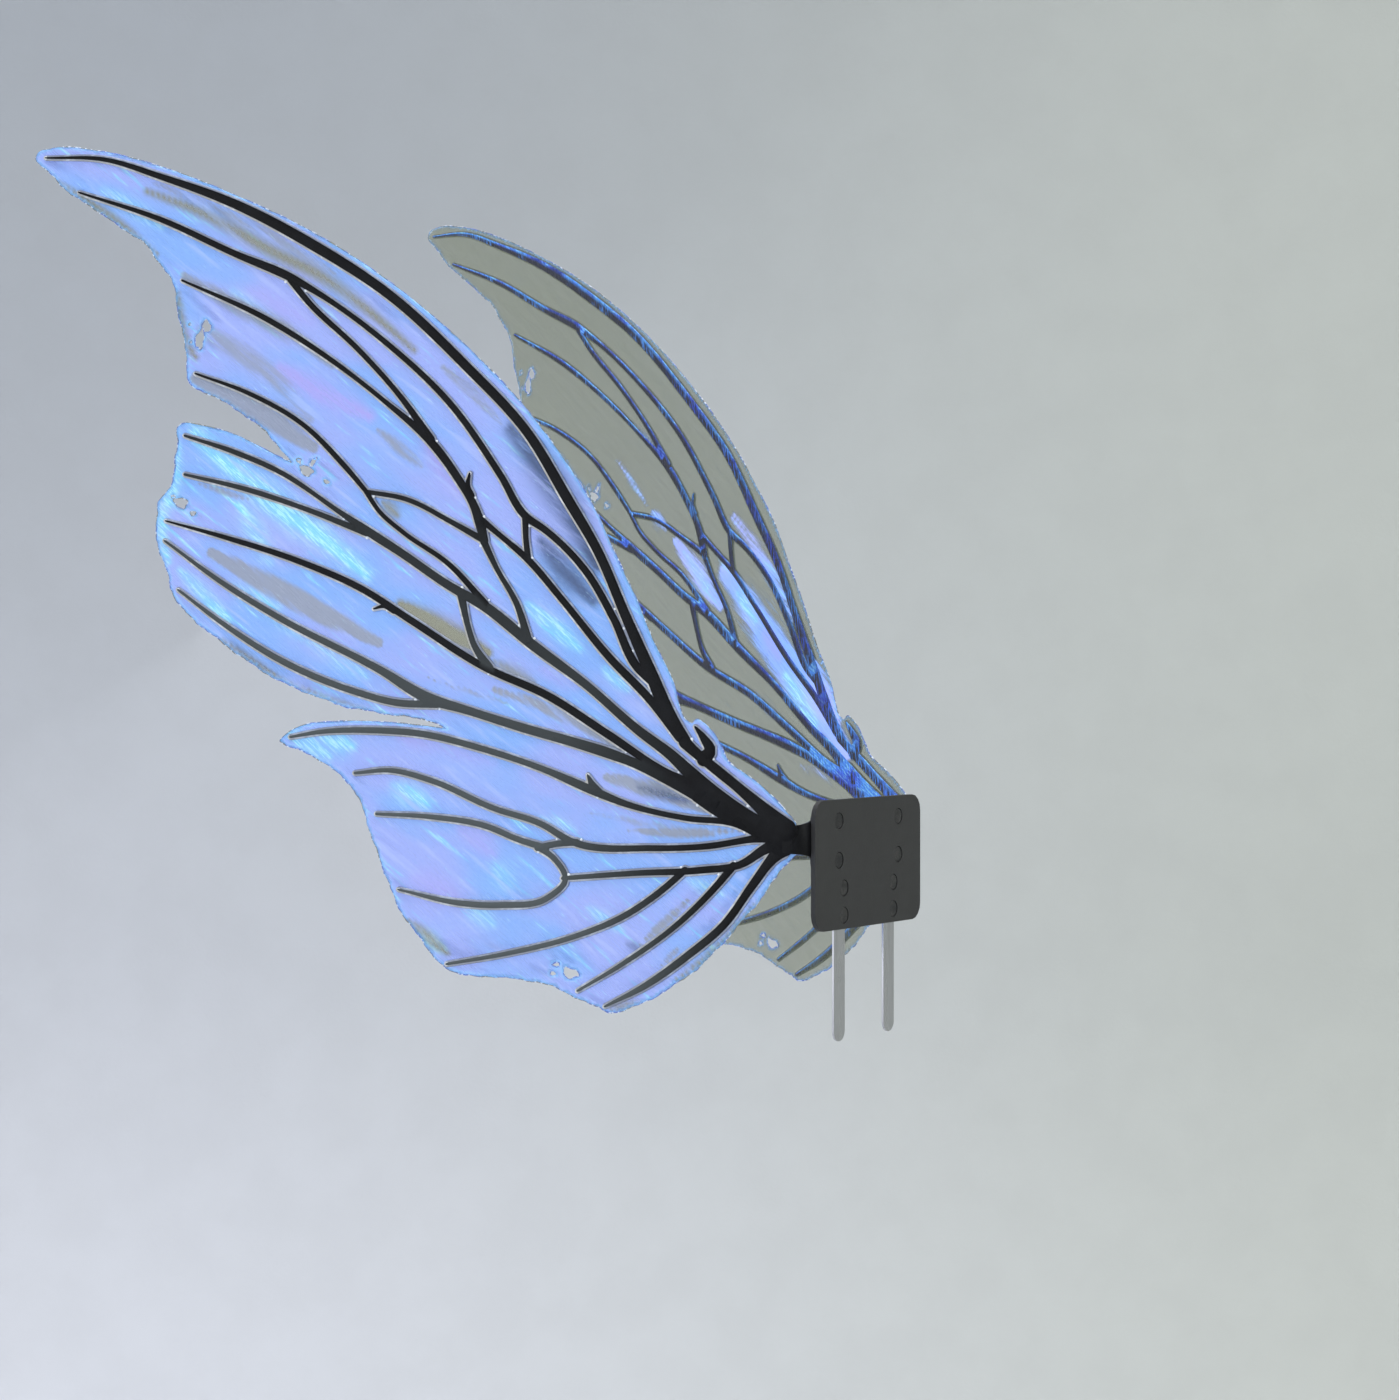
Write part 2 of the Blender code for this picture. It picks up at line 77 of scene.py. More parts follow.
# Unit vectors along s, up t and inwards n: the sweep turns s back, the lean tips t inwards.
def planeAxes(side):
    sweep, lean = math.radians(wingPlane["sweepDeg"]), math.radians(wingPlane["leanDeg"])
    out = sides[side]
    along = np.array([out * math.cos(sweep), math.sin(sweep), 0.0])
    outward = np.array([out * math.sin(sweep), -math.cos(sweep), 0.0])
    up = np.array([0.0, 0.0, math.cos(lean)]) - outward * math.sin(lean)
    inward = np.cross(along, up) * -out
    return along, up, inward


# Drawing points (s, t, n) in mm to metres: hinge + s along + t up + n inward.
def toWorld(points, side):
    root = hinge(side) * np.array([1.0, 1.0, 0.0])
    return root + mm * points @ np.vstack(planeAxes(side))


# Cubic spans through the points, each slope the mean of the chords beside it weighted to the
# nearer, then respaced evenly by length.
def smoothThrough(points, step):
    p = np.asarray(points, float)
    gap = np.linalg.norm(np.diff(p[:, :2], axis=0), axis=1)[:, None]
    chord = np.diff(p, axis=0) / gap
    inner = (chord[:-1] * gap[1:] + chord[1:] * gap[:-1]) / (gap[1:] + gap[:-1])
    slope = np.vstack([chord[:1], inner, chord[-1:]])
    u = np.linspace(0, 1, 24, endpoint=False)[:, None]
    a, b = p[:-1, None], p[1:, None]
    leave, arrive = (slope[:-1] * gap)[:, None], (slope[1:] * gap)[:, None]
    spans = ((2 * u**3 - 3 * u**2 + 1) * a + (u**3 - 2 * u**2 + u) * leave
             + (3 * u**2 - 2 * u**3) * b + (u**3 - u**2) * arrive)
    line = np.vstack([spans.reshape(-1, p.shape[1]), p[-1:]])
    length = np.r_[0, np.cumsum(np.linalg.norm(np.diff(line[:, :2], axis=0), axis=1))]
    even = np.linspace(0, length[-1], max(3, math.ceil(length[-1] / step)) + 1)
    return np.column_stack([np.interp(even, length, column) for column in line.T])


# A mesh object from point and face arrays; flip turns every face over.
def newPiece(name, points, faces, flip=False):
    mesh = bpy.data.meshes.new(name)
    faces = [f[::-1] if flip else f for f in faces]
    mesh.from_pydata(np.asarray(points).tolist(), [], faces)
    piece = bpy.data.objects.new(name, mesh)
    bpy.context.collection.objects.link(piece)
    return piece


# Quads between neighbouring rings of a tube, and its two end caps when it isn't a loop.
def tubeFaces(rings, around, closed=False):
    ring = np.arange(rings if closed else rings - 1)[:, None] * around
    nextRing = (ring + around) % (rings * around)
    k = np.arange(around)
    k1 = (k + 1) % around
    quads = np.stack([ring + k, ring + k1, nextRing + k1, nextRing + k], axis=-1).reshape(-1, 4)
    faces = quads.tolist()
    if not closed:
        last = (rings - 1) * around
        faces += [list(range(around - 1, -1, -1)), list(range(last, last + around))]
    return faces


# A band along the path: at each station a rounded rectangle, as wide as the path's third column
# plus grow and from low to high along the normal. Its ends close as half circles.
def bandPoints(path, low, high, radius, rounding=3, grow=0.0):
    s, t, width = path.T
    width = width + grow
    direction = np.gradient(path[:, :2], axis=0)
    direction /= np.linalg.norm(direction, axis=1)[:, None]
    turn = np.radians([35.0, 65.0, 84.0])
    reach, shrink = np.sin(turn), np.cos(turn)
    for end, sign in ((0, -1), (-1, 1)):
        extra = path[end, :2] + sign * direction[end] * (width[end] / 2 * reach)[:, None]
        thin = width[end] * shrink
        turned = np.repeat(direction[end][None], len(turn), 0)
        if end == 0:
            s, t = np.r_[extra[::-1, 0], s], np.r_[extra[::-1, 1], t]
            width, direction = np.r_[thin[::-1], width], np.vstack([turned, direction])
        else:
            s, t = np.r_[s, extra[:, 0]], np.r_[t, extra[:, 1]]
            width, direction = np.r_[width, thin], np.vstack([direction, turned])
    r = np.minimum(radius, width * 0.45)[:, None]
    corner = np.repeat([[1, 1], [-1, 1], [-1, -1], [1, -1]], rounding + 1, axis=0)
    angle = np.radians(90 * np.repeat(np.arange(4), rounding + 1)
                       + np.tile(np.linspace(0, 90, rounding + 1), 4))
    across = corner[:, 0] * (width[:, None] / 2 - r) + r * np.cos(angle)
    middle, half = (high + low) / 2, (high - low) / 2
    through = middle + corner[:, 1] * (half - r) + r * np.sin(angle)
    points = np.stack([s[:, None] - across * direction[:, 1:2],
                       t[:, None] + across * direction[:, 0:1], through], axis=-1)
    return points.reshape(-1, 3), tubeFaces(len(s), len(angle))


# An object from (points, faces) drawn on the wing plane in mm; the left one is mirrored.
def placed(name, side, drawn):
    points, faces = drawn
    return newPiece(name, toWorld(points, side), faces, flip=side == "left")


# Several (points, faces) shells as one pair.
def gathered(parts):
    points, faces, start = [], [], 0
    for shellPoints, shellFaces in parts:
        points.append(shellPoints)
        faces += [[k + start for k in face] for face in shellFaces]
        start += len(shellPoints)
    return np.vstack(points), faces


# Smooth shading, but sharp where two faces meet at more than the angle.
def softShade(piece, angleDeg=35):
    piece.data.shade_smooth()
    piece.data.set_sharp_from_angle(angle=math.radians(angleDeg))


# The piece's mesh as its modifiers leave it, with the modifiers taken off.
def applyModifiers(piece):
    bpy.context.view_layer.update()
    graph = bpy.context.evaluated_depsgraph_get()
    made = bpy.data.meshes.new_from_object(piece.evaluated_get(graph))
    piece.modifiers.clear()
    piece.data = made


# Each vein: (s, t, width) in mm, from the root outwards or from fork to fork.
veins = {
    "upperTrunk": [(-2, 4, 15), (8, 12.5, 11), (20, 23, 7.4), (30, 31.2, 6), (42, 40.5, 6),
                   (55, 50.6, 6), (63, 57.5, 7)],
    "rootHook": [(51, 48, 9), (47.6, 53, 7), (51.5, 60, 4.5), (56.5, 66.4, 1.4)],
    "costa": [(60, 55, 6), (70, 69, 8), (84, 98, 7.5), (99, 130, 6), (117.4, 170, 5.6),
              (135.9, 200, 6.2), (161.5, 240, 5.6), (200, 280, 5.6), (250, 324.7, 5.7),
              (300, 356.7, 6.4), (350, 383, 5.6), (400, 402.2, 3.8), (440, 415, 2.6),
              (479, 417.7, 1.0)],
    "second": [(83, 92, 4), (92, 101, 5), (107, 130, 4.5), (124.6, 158, 4.2), (150, 182.3, 4),
               (161.5, 190, 4.5), (177.7, 214.6, 4), (209.7, 257.7, 3.8), (251, 295.4, 3.3),
               (299.8, 329.5, 3.8), (314, 337.4, 5), (350, 352.8, 4), (400, 375.9, 3.3),
               (455.8, 395.1, 1.2)],
    "secondFork": [(314, 336, 4), (302, 322, 3.6), (269, 292, 3.2), (240, 261, 3.4),
                   (222, 237, 5)],
    "third": [(385.3, 338, 1.3), (330, 313, 3.4), (287.6, 287, 3), (252, 260.7, 2.8),
              (221, 234.5, 5), (204.8, 213.8, 4.8), (194.3, 197, 5), (190.5, 187, 6),
              (187.5, 175.5, 5)],
    "thirdThorn": [(196, 203, 4), (198.4, 208.5, 3.2), (197.2, 216.3, 1.2)],
    "inner": [(66, 60, 5), (83, 81, 5), (109.6, 107.3, 4.5), (139.6, 142, 3.9),
              (160.5, 165, 4), (180, 181, 3.2), (190, 189, 4)],
    "crossStub": [(162, 189, 4), (161.6, 178, 3.3), (160, 165, 3.8)],
    "eyeFeeder": [(189, 178, 4.5), (180, 160.4, 3), (166.2, 137.3, 3.6), (159.5, 117.5, 5)],
    "eyeUpper": [(188, 176.5, 4), (208.5, 187.6, 3), (237.7, 201.7, 2.8), (263, 206.5, 2.6)],
    "eyeLower": [(263, 206.5, 2.8), (254.8, 195, 2.6), (239, 181.8, 2.6), (210, 162.7, 3),
                 (186, 138.5, 4)],
    "fourth": [(261, 204.5, 2.6), (276.7, 221.8, 3.2), (304.7, 248, 2.8), (340, 267.5, 2.6),
               (375.6, 280.6, 1.2)],
    "fifth": [(382, 242.7, 1.5), (350, 232.4, 3), (319.5, 219.6, 3), (280, 194.6, 3),
              (262, 183, 5), (240, 169.5, 4.8), (210, 150, 5), (187, 137.3, 6),
              (155.8, 113.7, 6), (123.5, 91, 4.8), (90.6, 64, 5.4), (71.3, 50.3, 6.5),
              (57, 37.8, 8), (42, 27.5, 6), (22, 13.5, 8), (4, 3, 12)],
    "fifthFork": [(381.7, 219, 1.6), (340, 209, 3), (300, 196, 3), (262, 181.5, 4)],
    "sixth": [(52, 30.5, 7), (71.3, 38.6, 5), (109.8, 62, 4.8), (146.5, 84.2, 4.6),
              (187, 101.5, 4.4), (233, 129, 4.2), (265.6, 148.5, 4), (304, 164.5, 3.6),
              (355.4, 180.5, 2.8), (394, 190.8, 1)],
    "sixthThorn": [(244, 135, 4), (250.5, 137.8, 2.6), (257, 136.2, 1)],
    "link": [(202, 145.5, 5), (197, 125, 3.3), (193.5, 115, 3.6), (183.5, 100.5, 5.5)],
    "seventh": [(46, 23, 9), (71.3, 35.5, 7), (95, 46, 5.6), (110, 51.2, 6.2), (130, 57, 5.6),
                (160.4, 65, 5.2), (200, 76.5, 5), (221, 82.5, 6.5), (252.8, 99.7, 4.5),
                (317, 130.5, 3.6), (355.4, 152.3, 3), (394.5, 178.6, 1.3)],
    "seventhFork": [(216, 79.2, 4.5), (241, 80, 4), (268, 86.5, 3.8), (317, 105.5, 3.7),
                    (355.4, 128, 2.8), (385, 148.5, 1.4)],
    "hubWeb": [(8, 5, 12), (26, 12, 9), (40, 18.5, 10), (55, 27.5, 9)],
    "hindLeading": [(18, 6.5, 8), (30, 10.6, 5), (61.7, 13.6, 3.3), (100, 22, 3.8),
                    (119, 29.2, 5), (150, 41.5, 3.6), (190, 53.7, 3.6), (225, 61.5, 3.8),
                    (254.6, 63.5, 3.6), (290, 62.5, 2.6), (309.8, 59.3, 1.5)],
    "hindThorn": [(113, 27, 4), (118.8, 32.4, 4), (121.6, 38, 1.2)],
    "hindMiddle": [(4, 4, 9), (18, 2.6, 5), (49, -2.5, 3.6), (81.7, -4.1, 3.5),
                   (131, -1, 4), (150, 9, 3.5), (180, 18, 3.3), (219.6, 34, 3.2),
                   (245, 39.7, 2.8), (267.8, 37.9, 1.6)],
    "hindStep": [(128, -1.4, 4), (140, -2.4, 3.6), (152, -5, 4)],
    "hindBowl": [(151.5, -4.6, 4), (142.8, -10.2, 3.2), (134.6, -23, 3.2), (147, -35, 3.4),
                 (173.8, -39, 3.5), (200.8, -38.3, 3.2), (239.1, -31.1, 1.2)],
    "hindShelf": [(147, -5, 4), (164.4, -0.2, 3.4), (183.3, 7, 3.4), (220, 12.4, 2.8),
                  (253.6, 13.7, 1.6)],
    "hindLower": [(2, 2, 9), (14, -3.5, 6), (28, -12.4, 4.4), (52, -16.3, 4),
                  (90.6, -18.7, 3.3), (136, -22.5, 2.6)],
    "hindAnal": [(33, -13.5, 4.6), (43.6, -26, 4), (65.4, -47.3, 3.3), (100.3, -72.4, 2.6),
                 (126.4, -88, 1.4)],
    "hindBranch": [(62, -16.5, 4), (74, -27, 3.8), (98, -43.5, 3.6), (130.5, -57, 3),
                   (170, -67.3, 2.6), (207.8, -74.5, 1.6)],
    "hindTrailing": [(-1, 1, 14), (8, -7, 7.5), (21.8, -25, 5), (38, -47.3, 4.6),
                     (60, -66, 4.4), (86, -84.4, 3.6), (109.5, -96.6, 1.4)],
}
veinLook = {"step": 2.6, "edgeRadius": 0.34, "seamWidth": 2.3, "seamLow": -0.15, "skinLift": 0.14,
            "levelStep": 0.003}
veinPaths = {name: smoothThrough(points, veinLook["step"]) for name, points in veins.items()}


# The film's edge, in mm, as stretches that meet at corners.
filmEdge = {
    "rootUpper": [(-4, 11.5), (0.7, 17), (11.7, 28.5), (28, 41), (36.5, 46.6), (40.6, 54.4),
                  (46, 63.6), (52, 69.3), (56, 71.3), (58.8, 68.4)],
    "leading": [(58.8, 68.4), (62.7, 70.8), (66, 78), (70, 92), (81.9, 115.4), (93.5, 142),
                (105, 165), (118.8, 193.8), (133.8, 217), (159.7, 251), (200, 292),
                (247.4, 330.8), (300, 364.5), (350, 388.7), (400, 408.6), (440, 420),
                (475, 423.6), (484.6, 421.4), (486.5, 417.6), (482.7, 413)],
    "foreTrailing": [(482.7, 413), (475.6, 407.3), (460, 393), (450, 387.4), (438.5, 379.7),
                     (430.8, 374.6), (420.5, 368), (410, 360.5), (403.8, 352.8), (393.6, 339.4),
                     (390.4, 333.6), (389, 324.6), (387.8, 314.4), (384.6, 306.7),
                     (382.7, 297.7), (382, 288.7), (381, 278.5), (377, 272)],
    "upperNotch": [(377, 272), (370.5, 269.5), (352.6, 260.3), (337.4, 250.4), (323.3, 238),
                   (315.6, 229), (311.5, 224.7)],
    "lobeTop": [(311.5, 224.7), (329.7, 233.7), (350, 243.3), (360.5, 246.5), (376, 250),
                (382.3, 250.8), (387.4, 247.8), (388, 244.6), (386.8, 239.5)],
    "lobeTrailing": [(386.8, 239.5), (388.5, 230.5), (388.7, 221.5), (391.3, 212.6),
                     (399, 202.3), (399.6, 194.6), (401, 188), (400.3, 180.5), (395, 165),
                     (392.6, 158.7), (388.7, 146), (385, 140), (380.4, 135), (363, 121.5),
                     (342.6, 107.4), (319.5, 94), (299, 85.6), (278.5, 78.6), (252.8, 74),
                     (230, 70.9), (219.6, 69), (210, 64.7)],
    "hindTop": [(210, 64.7), (219.6, 66), (254.6, 68.9), (281.5, 68.9), (304.4, 65.8),
                (312.5, 61.7), (317.2, 57)],
    "hindTrailing": [(317.2, 57), (313.8, 54.7), (307, 52.3), (297.7, 48.9), (281.5, 39.5),
                     (269.4, 28.8), (261.3, 12.6), (256, -3), (252.6, -11), (246.5, -25.7),
                     (240.5, -39), (230.4, -53.3), (223.6, -60.7), (214, -73), (210.4, -76.2),
                     (206, -78.5)],
    "hindLower": [(206, -78.5), (200, -80.3), (180, -81.3), (160.5, -82.7), (150, -84),
                  (132, -90.3), (114.4, -97.5), (106.8, -100), (98, -98.6), (89.4, -95.3),
                  (70.8, -85), (51.2, -70.8), (37, -56), (25, -42.4), (12, -26), (2.2, -12),
                  (-4, -6.5)],
}
# Holes worn or melted through the film: centre, half length, half height, turn in degrees.
filmHoles = [
    (369, 309, 3.3, 3.9, 20), (373, 301.5, 2.9, 6.2, 10), (380, 311, 0.9, 0.9, 0),
    (379, 300, 0.9, 0.8, 0), (302, 220.0, 4.6, 2.9, 25), (297.7, 225.2, 1.5, 3.2, 35),
    (307.3, 226.4, 1.4, 1.2, 0), (288.7, 213, 2.1, 1.2, 20), (384.2, 201.7, 4.6, 3.1, 15),
    (376.3, 195.3, 2.0, 1.4, 0), (389.4, 205.5, 1.4, 1.2, 0), (131.3, -77.9, 5.0, 3.0, 12),
    (140, -73.2, 2.3, 1.4, 0), (142.2, -78.4, 1.9, 1.2, 0),
]
filmLook = {"step": 1.9, "ragged": 0.45, "bulge": 0.55, "wave": 0.55, "crease": 0.35,
            "thickness": 0.12, "hemRadius": 0.26, "rimWidth": 1.3}


# A smooth line pushed sideways by three sine waves, as film melts when it is cut hot.
def raggedLine(points, amount):
    line = smoothThrough([(s, t, 0.0) for s, t in points], 1.5)[:, :2]
    direction = np.gradient(line, axis=0)
    direction /= np.linalg.norm(direction, axis=1)[:, None]
    run = np.arange(len(line)) * 1.5
    phase = points[0][0] * 0.7 + points[0][1]
    push = (np.sin(run * 0.61 + phase) * 0.5 + np.sin(run * 1.37 + 2 * phase) * 0.35
            + np.sin(run * 0.23 + 3 * phase) * 0.8)
    ends = np.minimum(1, np.minimum(run, run[::-1]) / 5)
    return line + np.column_stack([-direction[:, 1], direction[:, 0]]) * (push * ends * amount)[:, None]


# The whole edge: every stretch in turn, with less raggedness on the four smooth ones.
def filmOutline():
    smooth = ("rootUpper", "leading", "lobeTop", "hindTop")
    stretches = [raggedLine(points, 0.06 if name in smooth else filmLook["ragged"])[:-1]
                 for name, points in filmEdge.items()]
    return np.vstack(stretches + [[filmEdge["hindLower"][-1]]])


# An uneven oval: its radius carries two small waves.
def holeOutline(hole, count=26):
    s, t, halfLength, halfHeight, turnDeg = hole
    angle = np.linspace(0, math.tau, count, endpoint=False)
    radius = 1 + 0.16 * np.sin(3 * angle + s) + 0.1 * np.sin(5 * angle + t)
    x, y = halfLength * radius * np.cos(angle), halfHeight * radius * np.sin(angle)
    turn = math.radians(turnDeg)
    return np.column_stack([s + x * math.cos(turn) - y * math.sin(turn),
                            t + x * math.sin(turn) + y * math.cos(turn)])


# Signed distance to a closed outline, negative inside: the nearest of its segments, with the sign
# from how many segments a ray crosses.
def edgeDistance(points, outline):
    a, b = outline, np.roll(outline, -1, axis=0)
    result = np.empty(len(points))
    for start in range(0, len(points), 4000):
        p = points[start:start + 4000, None]
        u = np.clip(((p - a) * (b - a)).sum(-1) / ((b - a) ** 2).sum(-1), 0, 1)
        near = np.linalg.norm(p - (a + u[..., None] * (b - a)), axis=-1).min(1)
        rise = (b[:, 1] - a[:, 1]) + 1e-12
        crosses = ((a[:, 1] > p[..., 1]) != (b[:, 1] > p[..., 1])) & (
            p[..., 0] < a[:, 0] + (p[..., 1] - a[:, 1]) / rise * (b[:, 0] - a[:, 0]))
        result[start:start + 4000] = np.where(crosses.sum(1) % 2 == 1, -near, near)
    return result


# For each vein, the distance from its side (to its middle line, less half its width there) and the
# unit direction away from it; veins over 30 mm away count as far.
def veinGaps(points):
    gaps = np.full((len(veinPaths), len(points)), 1e3)
    away = np.zeros((len(veinPaths), len(points), 2))
    for row, path in enumerate(veinPaths.values()):
        low, high = path[:, :2].min(0) - 30, path[:, :2].max(0) + 30
        close = np.flatnonzero(((points > low) & (points < high)).all(1))
        a, b = path[:-1], path[1:]
        run = b[:, :2] - a[:, :2]
        for start in range(0, len(close), 6000):
            chosen = close[start:start + 6000]
            p = points[chosen, None]
            u = np.clip(((p - a[:, :2]) * run).sum(-1) / (run ** 2).sum(-1), 0, 1)
            offset = p - (a[:, :2] + u[..., None] * run)
            gap = np.linalg.norm(offset, axis=-1) - (a[:, 2] + u * (b[:, 2] - a[:, 2])) / 2
            best = gap.argmin(1)
            pick = np.arange(len(chosen))
            gaps[row, chosen] = gap[pick, best]
            offset = offset[pick, best]
            away[row, chosen] = offset / (np.linalg.norm(offset, axis=1)[:, None] + 1e-9)
    return gaps, away


# Distance to the nearest vein's side.
def veinDistance(points):
    return veinGaps(points)[0].min(0)


# The direction away from the nearest vein's middle line.
def veinSide(points):
    gaps, away = veinGaps(points)
    return away[gaps.argmin(0), np.arange(len(points))]


# Inside the outline and outside every hole: the largest of the signed distances.
def filmEdgeField(points, outline, holes):
    field = edgeDistance(points, outline)
    for hole in holes:
        near = np.linalg.norm(points - hole.mean(0), axis=1) < 15
        field[near] = np.maximum(field[near], -edgeDistance(points[near], hole))
    return field


# 1 on a line of points, fading as exp(-(distance / width)^2), with the width falling by the share
# taper from the line's middle to its ends as a sine.
def bandMask(points, line, halfWidth, taper=0.6):
    path = smoothThrough([(s, t, 0.0) for s, t in line], 4.0)[:, :2]
    width = halfWidth * (1 - taper + taper * np.sin(np.linspace(0.12, math.pi - 0.12, len(path))))
    nearest = np.full(len(points), 1e9)
    for (s, t), reach in zip(path, width):
        nearest = np.minimum(nearest, ((points[:, 0] - s) ** 2 + (points[:, 1] - t) ** 2) / reach**2)
    return np.exp(-nearest)


# A sum of sine waves: (wavelength in mm, direction in degrees, phase, height).
def ripple(points, waves):
    total = np.zeros(len(points))
    for wavelength, directionDeg, phase, height in waves:
        turn = math.radians(directionDeg)
        run = points[:, 0] * math.cos(turn) + points[:, 1] * math.sin(turn)
        total += height * np.sin(math.tau * run / wavelength + phase)
    return total


broadWaves = [(140, 20, 0.3, 1.0), (95, 75, 1.9, 0.7), (62, 130, 0.8, 0.5), (44, 100, 2.6, 0.35)]
creaseWaves = [(17, 118, 0.4, 1.0), (11, 141, 2.2, 0.7), (7.5, 127, 1.1, 0.5)]


# The film's depth n: bonded at the veins, drawn outwards between them with a fillet beside each
# vein, slow waves across the cells, and fine creases near the free edge.
def filmRelief(points, veinGap, edgeGap):
    cell = 1 - np.exp(-(np.clip(veinGap, 0, None) / 4.0) ** 2)
    open_ = np.clip(veinGap / 14, 0, 1) ** 1.5
    margin = np.exp(-(edgeGap / 12) ** 2) * np.clip(edgeGap / 2, 0, 1)
    depth = wingPlane["film"] - filmLook["bulge"] * cell
    depth -= filmLook["wave"] * open_ * ripple(points, broadWaves)
    depth -= filmLook["crease"] * np.clip(veinGap / 3, 0, 1) * (0.25 + margin) * ripple(points, creaseWaves)
    return depth


# Where the film shines clear, aqua, violet or dark with a painted reflection: lines of (s, t) and a
# half width, in mm.
filmPatches = {"right": {
    "clear": [([(410, 394), (375, 380), (323, 352), (295, 338), (264, 316), (234, 291)], 4.5, 0.8),
              ([(240, 139), (207, 121), (185, 110)], 5.5, 1.3), ([(180, 104), (156, 92)], 4, 0.6),
              ([(356, 118), (336, 105), (318, 95)], 2.4, 0.95),
              ([(302, 89), (285, 82), (272, 79)], 1.3, 0.7),
              ([(252, 200), (243, 192)], 4, 0.7), ([(470, 402), (432, 377), (403, 355)], 3.0, 0.9),
              ([(389, 330), (384, 303), (376, 291)], 4, 0.8), ([(232, -50), (208, -68)], 3.5, 0.9),
              ([(66, -80), (45, -64), (20, -36)], 2.6, 0.9), ([(106, -98), (90, -94)], 3, 0.6),
              ([(345, 108), (300, 87), (250, 73)], 2.2, 0.5)],
    "grey": [([(384, 341), (350, 322), (313, 303), (286, 284)], 9, 0.62),
             ([(372, 308), (334, 284), (300, 252)], 12, 0.55),
              ([(405, 399), (341, 371), (286, 339)], 6, 0.55),
             ([(364, 171), (340, 159), (311, 144), (285, 131), (254, 116)], 7.0, 1.2),
             ([(376, 278), (345, 263), (318, 247), (298, 234)], 8, 1.1), ([(228, 221), (256, 243)], 6, 0.6),
             ([(352, 244), (335, 236), (318, 227)], 3, 0.5), ([(170, 79), (200, 88), (222, 95)], 3, 0.6),
             ([(180, 88), (139, 74), (100, 52)], 5, 0.9),
             ([(110, 37), (73, 27), (50, 19)], 6, 1.0), ([(96, 6), (60, 5), (30, 7)], 4, 0.8),
             ([(60, -34), (77, -50), (88, -60)], 4, 0.8), ([(66, -62), (75, -72)], 3.5, 0.7),
             ([(44, 4), (80, 9), (120, 16)], 4, 0.5),
              ([(58, 73), (68, 96), (86, 132), (106, 172)], 3.5, 0.9),
             ([(178, 246), (196, 264), (215, 280)], 6, 0.6), ([(150, 178), (170, 200)], 5, 0.5),
             ([(375, 214), (340, 203)], 3.5, 0.6), ([(365, 132), (350, 122)], 4, 0.5),
              ([(268, 22), (262, 8)], 3, 0.6)],
    "dark": [([(172, 242), (152, 218), (132, 188), (118, 160)], 9, 1.0),
              ([(152, 175), (140, 160), (120, 140)], 8, 0.9),
             ([(90, 31), (62, 24)], 3.0, 0.9), ([(88, -64), (96, -60)], 3, 0.6),
             ([(356, 119), (336, 106), (316, 96)], 2.2, 0.55)],
    "aqua": [([(376, 244), (350, 223), (318, 197), (290, 178), (262, 157)], 8.0, 1.25),
              ([(345, 200), (325, 166)], 7, 0.7),
             ([(386, 236), (389, 212), (397, 190), (392, 166)], 4.5, 0.9),
              ([(384, 160), (352, 130)], 5, 0.8),
             ([(300, 118), (262, 96)], 5, 0.6), ([(335, 140), (300, 116)], 4, 0.5),
              ([(440, 396), (400, 372)], 5, 0.6),
             ([(352, 330), (322, 308)], 5, 0.5), ([(222, 160), (200, 140)], 4, 0.5),
              ([(310, 62), (285, 48)], 5, 0.8),
             ([(150, 12), (130, 6)], 4, 0.5), ([(120, -40), (100, -52)], 4, 0.7),
              ([(60, -22), (40, -30)], 4, 0.6),
             ([(290, 59), (270, 54)], 6, 0.9), ([(160, 138), (148, 129), (128, 112)], 5, 1.0),
             ([(112, 100), (98, 88)], 4, 0.9), ([(243, 30), (222, 20)], 7, 0.8),
             ([(228, -56), (210, -66)], 5, 0.9), ([(195, -40), (180, -50)], 6, 0.6),
             ([(178, -18), (170, -28)], 7, 0.5), ([(350, 150), (320, 138)], 7, 0.5),
             ([(420, 362), (405, 350)], 4, 0.6), ([(240, 262), (228, 248)], 4, 0.7)],
    "violet": [([(320, 282), (290, 265), (262, 252)], 9, 0.9), ([(225, 235), (205, 205)], 7, 0.7),
               ([(200, 6), (180, -8)], 9, 0.6), ([(228, -24), (205, -34)], 9, 0.5),
               ([(340, 330), (300, 310)], 8, 0.4), ([(240, 60), (180, 45)], 6, 0.4),
               ([(150, 100), (130, 90)], 6, 0.5)],
}, "left": {
    "blue": [([(276, 244), (262, 228), (246, 211)], 3.0, 0.7), ([(240, 206), (226, 196)], 6, 0.9),
             ([(216, 186), (200, 170), (186, 155), (174, 142)], 8, 1.3),
             ([(168, 163), (148, 144), (128, 122), (104, 96), (80, 72), (58, 48)], 14, 1.5),
             ([(158, 200), (140, 182), (122, 160), (104, 132)], 7, 0.9),
              ([(84, 104), (74, 84), (64, 66)], 7, 1.1),
             ([(235, 250), (258, 268)], 4, 0.5), ([(120, 68), (150, 88)], 5, 0.5),
              ([(60, 30), (100, 38)], 5, 0.5),
             ([(66, 80), (93, 145), (119, 197), (160, 254), (200, 295)], 1.8, 0.9)],
    "aqua": [([(112, 96), (85, 66)], 6, 0.9), ([(208, 178), (186, 155)], 4, 0.7),
              ([(156, 150), (140, 132)], 5, 0.8)],
    "violet": [([(213, 183), (188, 160)], 7, 0.4), ([(131, 124), (118, 108)], 7, 0.5)],
}}


